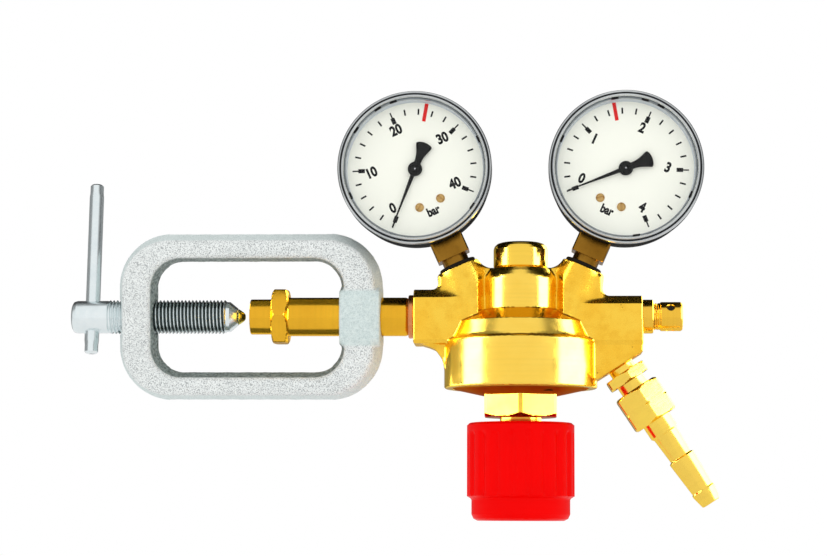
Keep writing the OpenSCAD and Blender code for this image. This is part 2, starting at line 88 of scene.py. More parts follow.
def along_x(x=0.0):
    """Local z runs along the row's +X."""
    return frame_of((x, 0, 0), (0, 1, 0), (0, 0, 1), (1, 0, 0))


def upright(x=BODY_X, y=0.0, z=0.0):
    return frame_of((x, y, z), (1, 0, 0), (0, 1, 0), (0, 0, 1))


def leaning(x, z, degrees):
    """Local z leans from the row's +Z towards its +X."""
    s, c = sin_cos(degrees)
    return frame_of((x, 0, z), (c, 0, -s), (0, 1, 0), (s, 0, c))


def rolled(degrees, x=0.0):
    """The row's frame rolled about the inlet's axis."""
    s, c = sin_cos(degrees)
    return frame_of((x, 0, 0), (1, 0, 0), (0, c, s), (0, -s, c))


def dial_frame(side, turn=0.0):
    """Local x to the right on the dial, y up it, z towards the reader."""
    s, c = sin_cos(GAUGE_LEAN * side + turn)
    return frame_of((BODY_X + side * GAUGE_OUT, 0, GAUGE_UP), (c, 0, -s), (s, 0, c), (0, -1, 0))


def stem_frame(side):
    """Local z up the gauge's stem, origin at the gauge's centre."""
    return leaning(BODY_X + side * GAUGE_OUT, GAUGE_UP, GAUGE_LEAN * side)


def outlet_frame():
    return leaning(OUTLET_X, OUTLET_Z, OUTLET_LEAN)


def screw_frame():
    return rolled(YOKE_ROLL) @ along_x()


def bar_frame():
    return rolled(BAR_ROLL, BAR_X)


# ---- mesh tools

def unit(value):
    return np.clip(value, 0, 1)


def eased(share):
    return share * share * (3 - 2 * share)


def build(name, verts, faces, place, material, body="regulator", crease=38.0, normals=None):
    """A mesh from local coordinates, shaded smooth with its creases kept sharp."""
    verts = np.asarray(verts, dtype=np.float64)
    world = (verts @ place[:3, :3].T + place[:3, 3]) * MM
    mesh = bpy.data.meshes.new(name)
    mesh.from_pydata(world.tolist(), [], [tuple(f) for f in faces])
    mesh.validate()
    mesh.shade_smooth()
    if normals is not None:
        mesh.normals_split_custom_set_from_vertices((normals @ place[:3, :3].T).tolist())
    else:
        mesh.set_sharp_from_angle(angle=math.radians(crease))
    mesh.materials.append(material)
    piece = bpy.data.objects.new(name, mesh)
    scene.collection.objects.link(piece)
    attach(piece, body)
    return piece


def rounded(points, radius):
    """Every corner of an open (r, h) line turned into a small arc. A third number is its own radius."""
    out, steps, nearly_straight = [points[0]], 3, math.radians(172)
    for before, here, after in zip(points, points[1:], points[2:]):
        size = here[2] if len(here) > 2 else radius
        p = np.array(here[:2], float)
        a, b = np.array(before[:2], float) - p, np.array(after[:2], float) - p
        la, lb = np.linalg.norm(a), np.linalg.norm(b)
        bend = math.acos(max(-1.0, min(1.0, float(a @ b) / (la * lb))))
        if bend > nearly_straight:
            out.append(tuple(p))
            continue
        reach = min(size / math.tan(bend / 2), la * 0.45, lb * 0.45)
        start, end = p + a / la * reach, p + b / lb * reach
        for i in range(steps + 1):
            t = i / steps
            out.append(tuple((1 - t) ** 2 * start + 2 * t * (1 - t) * p + t ** 2 * end))
    out.append(points[-1])
    return [tuple(q[:2]) for q in out]


def fine(points, step):
    """A line with extra points, so that shape functions have rows to work on."""
    out = [points[0]]
    for a, b in zip(points, points[1:]):
        a, b = np.array(a, float), np.array(b, float)
        parts = max(1, int(math.ceil(np.linalg.norm(b - a) / step)))
        out += [tuple(a + (b - a) * i / parts) for i in range(1, parts + 1)]
    return out


def grid_faces(rows, cols):
    """Quads between rings of points, each ring closed."""
    i, j = np.arange(rows - 1)[:, None], np.arange(cols)[None, :]
    k = (j + 1) % cols
    quads = np.stack([i * cols + j, i * cols + k, (i + 1) * cols + k, (i + 1) * cols + j], axis=-1)
    return quads.reshape(-1, 4)


def spun(name, line, place, material, slot="turned_brass", body="regulator", count=128, shape=None,
         crease=38.0):
    """A turned piece: an (r, h) line about local z. shape(angle, r, h) may change each ring's r and h."""
    line = np.array(line, float)
    angle = np.linspace(0, 2 * math.pi, count, endpoint=False)
    r = np.repeat(line[:, :1], count, axis=1)
    h = np.repeat(line[:, 1:2], count, axis=1)
    if shape is not None:
        r, h = shape(angle[None, :], r, h)
    verts = np.stack([r * np.cos(angle), r * np.sin(angle), h], axis=-1).reshape(-1, 3)
    faces = grid_faces(len(line), count)
    if line[1:, 1].mean() < line[:-1, 1].mean():
        faces = faces[:, ::-1]
    return build(name, verts, faces, place, material, body, crease)


def turned(node, *what, **how):
    """A spun skin that stands for a CAD node."""
    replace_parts(spun(f"{node}_skin", *what, **how), node)


def thread(pitch, depth, start, end, inner=1.0):
    """A helical V groove between two heights, run out at both ends, in what lies beyond an inner radius."""
    def shape(angle, r, h):
        turn = (h / pitch - angle / (2 * math.pi)) % 1.0
        groove = unit((np.abs(turn * 2 - 1) - 0.18) / 0.64)
        fade = unit((h - start) / (0.8 * pitch)) * unit((end - h) / (0.8 * pitch))
        return np.where(r > inner, r - depth * groove * fade, r), h
    return shape


def hexagon(across, chamfer, low, high, turn=30.0):
    """Flats of a hexagon bar whose corners are softened, and cut by a cone at both ends."""
    corner = across / 2 / math.cos(math.pi / 6)
    soft, steep = corner - 0.22, 1.7

    def shape(angle, r, h):
        a = (angle + math.radians(turn)) % (math.pi / 3) - math.pi / 6
        flat = across / 2 / np.cos(a)
        flat = np.minimum(flat, soft + (flat - soft) * 0.35)
        cone_low = corner - chamfer * steep + (h - low) * steep
        cone_high = corner - chamfer * steep + (high - h) * steep
        side = r >= across / 2 - 0.01
        return np.where(side, np.minimum(flat, np.minimum(cone_low, cone_high)), r), h
    return shape


# ---- distance fields

def soft_min(a, b, k):
    h = unit(0.5 + 0.5 * (b - a) / k)
    return b + (a - b) * h - k * h * (1 - h)


def soft_max(a, b, k):
    return -soft_min(-a, -b, k)


def area_of(p):
    return 0.5 * np.sum(p[:, 0] * np.roll(p[:, 1], -1) - np.roll(p[:, 0], -1) * p[:, 1])


def inset(points, size):
    """The polygon moved inwards, so that rounding brings it back to size."""
    p = np.array(points, float)
    turn = 1.0 if area_of(p) > 0 else -1.0
    out = []
    for i in range(len(p)):
        a, b = p[i] - p[i - 1], p[(i + 1) % len(p)] - p[i]
        na = turn * np.array([-a[1], a[0]]) / np.linalg.norm(a)
        nb = turn * np.array([-b[1], b[0]]) / np.linalg.norm(b)
        mid = na + nb
        out.append(p[i] + mid * size / max(1e-6, float(mid @ na)))
    return np.array(out)


def polygon_field(u, v, points, rounding=0.0):
    p = inset(points, rounding) if rounding > 0 else np.array(points, float)
    best = np.full(u.shape, 1e9, dtype=np.float32)
    sign = np.ones(u.shape, dtype=np.float32)
    for i in range(len(p)):
        (ax, ay), (bx, by) = p[i], p[i - 1]
        ex, ey = bx - ax, by - ay
        wx, wy = u - ax, v - ay
        t = unit((wx * ex + wy * ey) / (ex * ex + ey * ey))
        dx, dy = wx - ex * t, wy - ey * t
        best = np.minimum(best, dx * dx + dy * dy)
        c1, c2, c3 = v >= ay, v < by, ex * wy > ey * wx
        sign = np.where((c1 & c2 & c3) | (~c1 & ~c2 & ~c3), -sign, sign)
    return sign * np.sqrt(best) - rounding


def corner_field(a, b):
    """Distance to the corner between two sides, from the distance to each."""
    return np.minimum(np.maximum(a, b), 0) + np.sqrt(np.maximum(a, 0) ** 2 + np.maximum(b, 0) ** 2)


def slab(field, w, half, rounding):
    """A flat outline given a thickness."""
    return corner_field(field + rounding, np.abs(w) - half + rounding) - rounding


def rod_field(u, v, w, radius, low, high):
    return corner_field(np.sqrt(u * u + v * v) - radius, np.maximum(low - w, w - high))


def round_box(u, v, middle, half_u, half_v, r):
    return corner_field(np.abs(u - middle) - half_u + r, np.abs(v) - half_v + r) - r


def to_local(place, x, y, z):
    r, o = place[:3, :3], place[:3, 3]
    px, py, pz = x - o[0], y - o[1], z - o[2]
    return tuple(px * r[0, i] + py * r[1, i] + pz * r[2, i] for i in range(3))


def skin(name, field, low, high, cell, place, material, body="regulator"):
    """The surface of a distance field, with its vertices and normals set from the field itself."""
    axes = [np.arange(a - 2 * cell, b + 3 * cell, cell, dtype=np.float32) for a, b in zip(low, high)]
    x, y, z = np.meshgrid(*axes, indexing="ij")
    values = np.empty(x.shape, dtype=np.float32)
    for i in range(0, len(x), 24):                # a few layers at a time, to save memory
        part = slice(i, i + 24)
        values[part] = field(x[part], y[part], z[part])
    volume = vdb.FloatGrid(background=3.0)
    volume.copyFromArray(values / cell)
    points, quads = volume.convertToQuads(isovalue=0.0)
    verts = points * cell + np.array([a[0] for a in axes])

    def slope(p, h=0.04):
        steps = np.eye(3) * h
        return np.stack([(field(*(p + s).T) - field(*(p - s).T)) / (2 * h) for s in steps], axis=-1)

    for _ in range(3):
        g = slope(verts)
        size = np.maximum(np.sum(g * g, axis=1), 0.2)
        move = field(*verts.T) / size
        verts = verts - np.clip(move, -0.5 * cell, 0.5 * cell)[:, None] * g
    g = slope(verts, 0.08)
    g /= np.maximum(np.linalg.norm(g, axis=1, keepdims=True), 1e-6)
    faces = quads[:, ::-1]
    a, b, c = (verts[faces[:, i]] for i in range(3))
    facing = np.sum(np.cross(b - a, c - b) * g[faces[:, 0]], axis=1)
    if np.mean(facing > 0) < 0.5:
        faces = faces[:, ::-1]
    return build(name, verts, faces, place, material, body, normals=g)


def points_of(piece):
    """A piece's vertices in the row's frame."""
    points = np.empty(len(piece.data.vertices) * 3)
    piece.data.vertices.foreach_get("co", points)
    return points.reshape(-1, 3) / MM


def paint(piece, name, share):
    """A value on each vertex, for the piece's material to read."""
    layer = piece.data.attributes.new(name, "FLOAT", "POINT")
    layer.data.foreach_set("value", share.astype(np.float32))


# ---- materials

class Nodes:
    """Short forms for building a node tree."""

    def __init__(self, tree):
        self.tree = tree

    def put(self, target, key, value):
        if isinstance(value, bpy.types.NodeSocket):
            self.tree.links.new(value, target.inputs[key])
        else:
            target.inputs[key].default_value = value

    def node(self, kind, inputs=None, **settings):
        made = self.tree.nodes.new(f"ShaderNode{kind}")
        for key, value in settings.items():
            setattr(made, key, value)
        for key, value in (inputs or {}).items():
            self.put(made, key, value)
        return made

    def math(self, operation, a, b):
        return self.node("Math", {0: a, 1: b}, operation=operation).outputs[0]

    def times(self, a, b):
        return self.math("MULTIPLY", a, b)

    def fit(self, value, a, b, low=0.0, high=1.0, **settings):
        made = self.node("MapRange", {"Value": value, "From Min": a, "From Max": b,
                                      "To Min": low, "To Max": high}, **settings)
        return made.outputs["Result"]

    def between(self, share, a, b):
        return self.node("Mix", {0: share, 2: a, 3: b}, data_type="FLOAT").outputs[0]


class Shader(Nodes):
    """One material, with the noises and mixes that the surfaces are made of."""

    def __init__(self, name):
        self.material = bpy.data.materials.new(name)
        self.material.use_nodes = True
        super().__init__(self.material.node_tree)
        self.surface = self.tree.nodes["Principled BSDF"]
        self.place = self.node("TexCoord").outputs["Object"]

    def noise(self, scale, detail=4.0, roughness=0.55, where=None):
        found = self.node("TexNoise", {"Vector": self.place if where is None else where, "Scale": scale,
                                       "Detail": detail, "Roughness": roughness})
        return found.outputs["Fac"]

    def spots(self, scale):
        return self.node("TexVoronoi", {"Vector": self.place, "Scale": scale}).outputs["Distance"]

    def vector(self, operation, a, b=(0.0, 0.0, 0.0)):
        made = self.node("VectorMath", {0: a, 1: b}, operation=operation)
        return made.outputs["Value" if operation in ("DOT_PRODUCT", "LENGTH") else "Vector"]

    def about(self, place):
        """Distance along a frame's z axis and radius about it, in metres."""
        axis = tuple(place[:3, 2])
        shifted = self.vector("SUBTRACT", self.place, tuple(place[:3, 3] * MM))
        radius = self.vector("LENGTH", self.vector("CROSS_PRODUCT", shifted, axis))
        return self.vector("DOT_PRODUCT", shifted, axis), radius

    def rings(self, along, radius, scale, detail=2.0, roughness=0.5):
        """Noise that is the same all round an axis, as a lathe leaves it."""
        where = self.node("CombineXYZ", {"X": along, "Y": radius, "Z": 0.0}).outputs[0]
        return self.noise(scale, detail, roughness, where)

    def mix(self, factor, a, b):
        made = self.node("Mix", data_type="RGBA")
        for key, value in ((0, factor), (6, a), (7, b)):
            self.put(made, key, (*value, 1) if isinstance(value, tuple) else value)
        return made.outputs[2]

    def tint(self, value, start, end, share, colour, other):
        """A colour that takes a share of another as a value goes from start to end."""
        return self.mix(self.fit(value, start, end, 0.0, share), colour, other)

    def bump(self, *layers):
        """Stacks (height, strength, distance) bumps."""
        normal = None
        for height, strength, distance in layers:
            made = self.node("Bump", {"Height": height, "Strength": strength, "Distance": distance})
            if normal is not None:
                self.put(made, "Normal", normal)
            normal = made.outputs[0]
        self.put(self.surface, "Normal", normal)

    def set(self, **values):
        names = {"color": "Base Color", "metal": "Metallic", "rough": "Roughness", "ior": "IOR",
                 "spec": "Specular IOR Level", "edge": "Specular Tint"}
        for key, value in values.items():
            self.put(self.surface, names[key], (*value, 1) if isinstance(value, tuple) else value)
        return self.material


GOLD = (0.94, 0.60, 0.065)
BRASS_EDGE = (1.0, 0.86, 0.5)       # what polished brass reflects at a grazing angle


def turned_metal(name, colour, place, rough, tarnish=(0.82, 0.5, 0.1), edge=BRASS_EDGE):
    """Metal off a lathe: fine rings about its axis, faint handling marks and a slow change of tone."""
    s = Shader(name)
    along, radius = s.about(place)
    rings = s.rings(along, radius, 5200.0, 2.0, 0.6)
    broad = s.rings(along, radius, 900.0)
    base = s.tint(s.noise(55.0, 3.0), 0.35, 0.75, 0.45, colour, tarnish)
    base = s.tint(broad, 0.4, 0.8, 0.25, base, tuple(0.75 * c for c in colour))
    s.bump((rings, 0.10, 0.00006), (broad, 0.12, 0.00012), (s.noise(420.0, 3.0), 0.05, 0.0002))
    return s.set(color=base, metal=1.0, edge=edge,
                 rough=s.fit(s.noise(160.0, 5.0, 0.65), 0.3, 0.75, rough * 0.75, rough * 1.45))


def make_core():
    """The forging with its machined faces: dome, shoulder and drum are turned, the arms are matt."""
    s = Shader("forged_body_surface")
    parts = s.node("SeparateXYZ", {0: s.vector("SUBTRACT", s.place, (BODY_X * MM, 0, 0))})
    flat = s.node("CombineXYZ", {"X": parts.outputs[0], "Y": parts.outputs[1], "Z": 0.0}).outputs[0]
    radius, height = s.vector("LENGTH", flat), parts.outputs[2]
    machined = s.node("Attribute", attribute_name="machined").outputs["Fac"]
    forged = s.math("SUBTRACT", 1.0, machined)
    grain = s.noise(1500.0, 4.0, 0.65)
    flow = s.noise(240.0, 5.0, 0.6)
    tone = s.noise(60.0, 4.0, 0.6)
    rings = s.rings(height, radius, 5200.0)
    broad = s.rings(height, radius, 800.0)
    pits = s.fit(s.spots(300.0), 0.02, 0.11, 1.0, 0.0)
    pit = s.times(s.times(pits, s.math("GREATER_THAN", s.noise(110.0, 1.0), 0.64)), forged)
    matt = s.tint(tone, 0.35, 0.7, 1.0, GOLD, (0.92, 0.52, 0.04))
    matt = s.tint(flow, 0.48, 0.78, 0.55, matt, (0.74, 0.40, 0.03))
    bright = s.tint(tone, 0.4, 0.7, 0.5, (0.96, 0.65, 0.105), (0.92, 0.57, 0.06))
    bright = s.tint(broad, 0.45, 0.8, 0.16, bright, (0.74, 0.46, 0.05))
    # Painted shade: the shoulder, between the drum's cone and the foot of the dome, is darkened in the colour.
    level = s.times(s.fit(height, 0.0024, 0.0030, 1.0, 0.0), s.fit(height, -0.0027, -0.0022))
    shoulder_shade = s.times(s.times(level, s.fit(radius, 0.0153, 0.0156)), machined)
    base = s.mix(s.times(shoulder_shade, 0.75), s.mix(machined, matt, bright), (0.50, 0.25, 0.02))
    base = s.mix(pit, base, (0.16, 0.07, 0.01))
    rough = s.between(machined, s.fit(grain, 0.3, 0.7, 0.20, 0.30),
                      s.fit(s.noise(150.0, 5.0, 0.65), 0.3, 0.75, 0.13, 0.26))
    s.bump((s.times(flow, forged), 0.12, 0.0005), (s.times(grain, forged), 0.09, 0.00012),
           (s.times(rings, machined), 0.12, 0.00006), (s.times(broad, machined), 0.07, 0.00010),
           (pit, 0.5, -0.0003))
    return s.set(color=base, metal=1.0, rough=rough, edge=BRASS_EDGE)


def make_zinc(name, place, groove=None):
    """Bright zinc plate. groove gives the radius of a thread's root and the stretch it covers, where the roots
    are darkened with painted shade.
    """
    s = Shader(name)
    along, radius = s.about(place)
    streak = s.noise(700.0, 4.0, 0.6)
    base = s.tint(s.noise(90.0, 5.0, 0.6), 0.35, 0.7, 1.0, (0.80, 0.86, 0.87), (0.70, 0.78, 0.80))
    base = s.tint(streak, 0.55, 0.8, 0.4, base, (0.88, 0.90, 0.88))
    if groove:
        root, low, high = (value * MM for value in groove)
        # Painted shade: the colour darkens towards the thread's root radius, within the stretch.
        depth = s.fit(radius, root, root + 0.55 * MM, 1.0, 0.0)
        inside = s.times(s.math("GREATER_THAN", along, low), s.math("LESS_THAN", along, high))
        base = s.mix(s.times(depth, inside), base, (0.05, 0.075, 0.07))
    s.bump((s.rings(along, radius, 2600.0, 3.0), 0.08, 0.00005), (streak, 0.04, 0.0001))
    return s.set(color=base, metal=0.92, rough=s.fit(s.noise(300.0, 5.0), 0.3, 0.7, 0.16, 0.27))


def make_cast():
    """Cast iron with a rough zinc coat: fine dark grains on a pale face, and inside the window a greener coat
    darkened with painted shade.
    """
    s = Shader("cast_yoke_surface")
    grain = s.noise(2500.0, 2.0, 0.6)
    clump = s.noise(700.0, 4.0, 0.65)
    pits = s.fit(s.spots(210.0), 0.015, 0.075, 1.0, 0.0)
    pit = s.times(pits, s.math("GREATER_THAN", s.noise(75.0, 1.0), 0.60))
    inner = s.node("Attribute", attribute_name="inner_coat_and_shade").outputs["Fac"]
    smooth = s.node("Attribute", attribute_name="smooth_part").outputs["Fac"]
    base = s.tint(s.noise(80.0, 4.0, 0.6), 0.35, 0.7, 1.0, (0.90, 0.935, 0.92), (0.82, 0.86, 0.845))
    base = s.tint(grain, 0.51, 0.39, 0.80, base, (0.22, 0.24, 0.25))
    base = s.tint(clump, 0.40, 0.30, 0.35, base, (0.42, 0.44, 0.45))
    coat = s.tint(clump, 0.38, 0.7, 1.0, (0.53, 0.65, 0.64), (0.70, 0.81, 0.79))
    # Inside the window: the coat's greener tone, darkened far below it as painted shade.
    green_and_shade = s.tint(s.noise(900.0, 3.0, 0.65), 0.40, 0.62, 1.0, (0.03, 0.05, 0.045), (0.34, 0.41, 0.39))
    base = s.mix(s.times(smooth, 0.75), base, coat)
    base = s.mix(s.times(inner, 0.9), base, green_and_shade)
    base = s.mix(pit, base, (0.02, 0.02, 0.02))
    strength = s.math("SUBTRACT", 1.0, s.times(smooth, 0.6))
    s.bump((s.times(clump, strength), 0.30, 0.0006), (s.times(grain, strength), 0.45, 0.0004),
           (pit, 0.8, -0.0006))
    return s.set(color=base, metal=0.0, rough=s.fit(grain, 0.35, 0.65, 0.62, 0.46), spec=0.2)


def make_knob_plastic():
    s = Shader("knob_plastic_surface")
    upwards = s.node("Mapping", {"Vector": s.place, "Scale": (1.0, 1.0, 0.12)}).outputs[0]
    scuff = s.noise(1600.0, 5.0, 0.7, upwards)
    base = s.tint(s.noise(40.0, 3.0), 0.3, 0.7, 1.0, (0.97, 0.0, 0.0), (0.89, 0.0, 0.0))
    s.bump((s.noise(650.0, 3.0, 0.5), 0.07, 0.0003), (scuff, 0.03, 0.0001))
    return s.set(color=base, rough=s.fit(scuff, 0.45, 0.75, 0.30, 0.46), ior=1.45, spec=0.05)


def make_enamel():
    s = Shader("case_enamel_surface")
    dust = s.noise(2200.0, 4.0, 0.7)
    base = s.tint(dust, 0.5, 0.8, 0.6, (0.004, 0.005, 0.006), (0.012, 0.013, 0.015))
    s.bump((s.noise(500.0, 3.0, 0.5), 0.06, 0.0003), (dust, 0.03, 0.0001))
    return s.set(color=base, rough=s.fit(s.noise(180.0), 0.3, 0.7, 0.50, 0.62), ior=1.2, spec=0.10)


def make_bezel(place):
    s = Shader("bezel_steel_surface")
    along, radius = s.about(place)
    base = s.tint(s.noise(60.0, 3.0), 0.3, 0.7, 1.0, (0.62, 0.64, 0.64), (0.50, 0.52, 0.53))
    s.bump((s.rings(radius, along, 4200.0), 0.10, 0.00006))
    return s.set(color=base, metal=1.0, rough=s.fit(s.noise(240.0, 5.0, 0.65), 0.3, 0.75, 0.14, 0.27))


def make_dial():
    s = Shader("dial_enamel_surface")
    fleck = s.noise(1800.0, 4.0, 0.6)
    base = s.tint(s.noise(35.0, 3.0), 0.3, 0.7, 1.0, (0.96, 0.945, 0.84), (0.94, 0.925, 0.82))
    base = s.tint(fleck, 0.55, 0.85, 0.4, base, (0.80, 0.80, 0.76))
    s.bump((fleck, 0.05, 0.0001))
    return s.set(color=base, rough=s.fit(fleck, 0.3, 0.7, 0.50, 0.62), ior=1.45, spec=0.3)


def make_paint(name, colour, other, scale, depth, smooth, rough, spec):
    """Thin paint or ink with fine flecks of another tone."""
    s = Shader(name)
    fleck = s.noise(scale, 4.0, 0.6)
    s.bump((fleck, 0.06, depth))
    return s.set(color=s.tint(fleck, 0.35, 0.75, 1.0, colour, other), spec=spec,
                 rough=s.fit(fleck, 0.3, 0.7, smooth, rough))


def make_ink(name, colour):
    worn = tuple(min(1.0, 1.3 * c + 0.003) for c in colour)
    return make_paint(name, colour, worn, 3000.0, 0.00005, 0.42, 0.6, 0.15)


def make_glass():
    """A thin clear window: mostly see-through, with a weak smeared gloss."""
    s = Shader("gauge_window_surface")
    out = next(n for n in s.tree.nodes if n.type == "OUTPUT_MATERIAL")
    clear = s.node("BsdfTransparent", {"Color": (0.985, 0.992, 0.995, 1)})
    smear = s.fit(s.noise(120.0), 0.3, 0.7, 0.02, 0.07)
    gloss = s.node("BsdfGlossy", {"Color": (1, 1, 1, 1), "Roughness": smear})
    share = s.times(s.node("Fresnel", {"IOR": 1.42}).outputs[0], 0.22)
    both = s.node("MixShader", {0: share, 1: clear.outputs[0], 2: gloss.outputs[0]})
    s.tree.nodes.remove(s.surface)
    s.put(out, "Surface", both.outputs[0])
    return s.material


def make_plain(name, colour, dark, metal, rough, scale, bump=0.1, spec=0.5):
    """A quiet two-tone surface with grain, for seals, springs and inner parts."""
    s = Shader(name)
    grain = s.noise(scale, 5.0, 0.65)
    base = s.tint(s.noise(scale / 9.0, 3.0), 0.3, 0.7, 1.0, colour, dark)
    base = s.tint(grain, 0.5, 0.8, 0.5, base, tuple(0.7 * c for c in dark))
    s.bump((grain, bump, 0.0002))
    return s.set(color=base, metal=metal, rough=s.fit(grain, 0.3, 0.7, rough * 0.8, rough * 1.25), spec=spec)


def make_floor():
    s = Shader("floor_surface")
    base = s.tint(s.noise(6.0, 3.0), 0.3, 0.7, 1.0, (0.93, 0.93, 0.93), (0.90, 0.90, 0.90))
    return s.set(color=base, rough=0.9, spec=0.1)


cast = make_cast()
core_brass = make_core()
knob_red = make_knob_plastic()
enamel = make_enamel()
dial_white = make_dial()
ring_grey = make_paint("dial_ring_surface", (0.62, 0.66, 0.70), (0.54, 0.58, 0.63), 1600.0, 0.0001,
                       0.38, 0.55, 0.4)
glass = make_glass()
ink_black = make_ink("dial_ink_black", (0.004, 0.004, 0.005))
ink_red = make_ink("dial_ink_red", (0.80, 0.012, 0.012))
pointer_black = make_ink("pointer_paint", (0.004, 0.004, 0.004))

# Black rubber for seals, also used for the black pieces of painted shade in holes and seams.
rubber_and_shade = make_plain("seal_rubber_and_shade_surface", (0.014, 0.014, 0.015), (0.008, 0.008, 0.009), 0.0, 0.7,
                    900.0, 0.2, 0.2)
gasket_grey = make_plain("gasket_grey_surface", (0.28, 0.31, 0.33), (0.19, 0.21, 0.22), 0.0, 0.6,
                         900.0, 0.2, 0.2)
fibre = make_plain("fibre_seal_surface", (0.016, 0.012, 0.010), (0.008, 0.007, 0.006), 0.0, 0.7,
                   1200.0, 0.25, 0.15)
copper = make_plain("seal_copper_surface", (0.78, 0.33, 0.13), (0.62, 0.22, 0.08), 1.0, 0.30, 600.0, 0.08)
spring_wire = make_plain("spring_wire_surface", (0.40, 0.41, 0.43), (0.28, 0.29, 0.31), 1.0, 0.32,
                         900.0, 0.08)
bright_steel = make_plain("bright_steel_surface", (0.70, 0.70, 0.71), (0.58, 0.58, 0.60), 1.0, 0.24,
                          700.0, 0.06)
sinter = make_plain("sintered_bronze_surface", (0.50, 0.30, 0.14), (0.30, 0.17, 0.07), 1.0, 0.55, 3500.0, 0.6)
polymer = make_plain("seat_polymer_surface", (0.72, 0.66, 0.50), (0.64, 0.58, 0.44), 0.0, 0.45, 700.0, 0.06)
stamped = make_plain("stamped_brass_surface", (0.86, 0.58, 0.16), (0.72, 0.44, 0.09), 1.0, 0.28, 800.0, 0.08)
dial_screw_brass = make_plain("dial_screw_surface", (0.74, 0.48, 0.18), (0.50, 0.28, 0.08), 1.0, 0.36,
                              1500.0, 0.3)
bronze = make_plain("drawn_bronze_surface", (0.62, 0.34, 0.14), (0.48, 0.24, 0.09), 1.0, 0.30, 500.0, 0.08)
socket_brass = make_plain("wrench_square_surface", (0.34, 0.17, 0.022), (0.22, 0.10, 0.010), 1.0, 0.22,
                          500.0)

tip_brass = turned_metal("clamp_tip_surface", (0.66, 0.62, 0.16), screw_frame(), 0.25, (0.40, 0.38, 0.08))
inlet_brass = turned_metal("inlet_brass_surface", (0.86, 0.47, 0.03), along_x(), 0.20, (0.66, 0.32, 0.02))
plug_brass = turned_metal("plug_brass_surface", (0.95, 0.63, 0.08), upright(), 0.15)
bonnet_brass = turned_metal("bonnet_brass_surface", (0.93, 0.58, 0.06), upright(), 0.17)
# Painted shade: the bonnet's downward face takes a darker, browner copy of its brass, with a darker grazing
# tint too.
underside_shade_brass = turned_metal("bonnet_underside_shade_surface", (0.50, 0.22, 0.03), upright(), 0.34,
                           (0.36, 0.14, 0.02), (0.50, 0.18, 0.06))
relief_brass = turned_metal("relief_brass_surface", (0.88, 0.52, 0.05), along_x(), 0.18)
outlet_brass = turned_metal("outlet_brass_surface", (0.97, 0.68, 0.10), outlet_frame(), 0.17)
# The clamp screw's thread roots take painted shade between these lengths.
screw_zinc = make_zinc("clamp_screw_surface", screw_frame(), (6.25, -52.0, -10.6))
bar_zinc = make_zinc("tommy_bar_surface", bar_frame())
stem_zinc = make_zinc("spindle_zinc_surface", upright())


# ---- camera, light and floor

# The camera looks a little up at the object, from the right of its middle, and is rolled by a hair.
CAMERA_TURN, CAMERA_RISE, CAMERA_ROLL, CAMERA_AWAY = 2.9, -6.0, 0.2, 1.0
CAMERA_AIM = Vector((0.0676, 0.0, 0.0162))
CAMERA_LENS = 104.8
BOX_RADIANCE = 8.5
FLOOR_HEIGHT, FLOOR_SIDES = -0.30, 96


def set_camera():
    turn, rise = math.radians(CAMERA_TURN), math.radians(CAMERA_RISE)
    outward = Vector((math.sin(turn) * math.cos(rise), -math.cos(turn) * math.cos(rise), math.sin(rise)))
    lens = bpy.data.cameras.new("camera")
    lens.sensor_width = 36.0
    lens.lens = CAMERA_LENS
    lens.clip_start, lens.clip_end = 0.01, 30.0
    eye = bpy.data.objects.new("camera", lens)
    eye.location = CAMERA_AIM + outward * CAMERA_AWAY
    level = (-outward).to_track_quat("-Z", "Y").to_matrix()
    eye.rotation_euler = (level @ Matrix.Rotation(math.radians(CAMERA_ROLL), 3, "Z")).to_euler()
    scene.collection.objects.link(eye)
    scene.camera = eye
    scene.view_settings.view_transform = "Standard"


def light_the_scene():
    """A white studio. Glossy surfaces see it bright in front, dim behind, dark overhead at the back and
    grey from below; matt surfaces see an almost even white, and the camera sees plain white."""
    world = bpy.data.worlds.new("studio")
    scene.world = world
    world.use_nodes = True
    world.cycles.sampling_method = "NONE"
    world.node_tree.nodes.clear()
    s = Nodes(world.node_tree)

    def ease(value, start, end, low=0.0, high=1.0):
        return s.fit(value, start, end, low, high, interpolation_type="SMOOTHSTEP")

    x, y, z = s.node("SeparateXYZ", {0: s.node("TexCoord").outputs["Generated"]}).outputs
    around = s.times(s.math("ARCTAN2", x, s.times(y, -1.0)), 57.29578)      # degrees from straight in front
    front = s.times(ease(around, -70.0, -50.0), ease(around, 44.0, 64.0, 1.0, 0.0))
    level = s.between(front, 0.30, 1.0)
    level = s.between(s.times(ease(z, 0.14, 0.42), ease(y, 0.05, 0.42)), level, 0.012)
    level = s.between(ease(z, -0.45, -0.85), level, 0.7)
    matt = s.between(ease(z, -0.4, 0.7), 1.28, 1.0)
    path = s.node("LightPath")
    shade = s.between(path.outputs["Is Diffuse Ray"], level, matt)
    shade = s.between(path.outputs["Is Camera Ray"], shade, 1.0)
    back = s.node("Background", {"Color": (1, 1, 1, 1), "Strength": shade})
    s.node("OutputWorld", {"Surface": back.outputs[0]})


def soft_box(name, around, width, height, radiance, receivers):
    """A soft lamp at an angle round the object that lights only the receivers."""
    data = bpy.data.lights.new(name, "AREA")
    data.shape = "RECTANGLE"
    data.size, data.size_y = width, height
    data.energy = radiance * math.pi * width * height
    lamp = bpy.data.objects.new(name, data)
    s, c = sin_cos(around)
    target = Vector((BODY_X * MM, 0, 0))
    lamp.location = target + Vector((s * 1.3, -c * 1.3, 0.12))
    lamp.rotation_euler = (target - lamp.location).to_track_quat("-Z", "Y").to_euler()
    lamp.visible_camera = False
    lamp.light_linking.receiver_collection = receivers
    scene.collection.objects.link(lamp)


def made_of(name, *materials):
    """A collection of the pieces that have one of these materials, for the lamps to name."""
    chosen = bpy.data.collections.new(name)
    for piece in scene.objects:
        if piece.type == "MESH" and set(materials) & set(piece.data.materials):
            chosen.objects.link(piece)
    return chosen


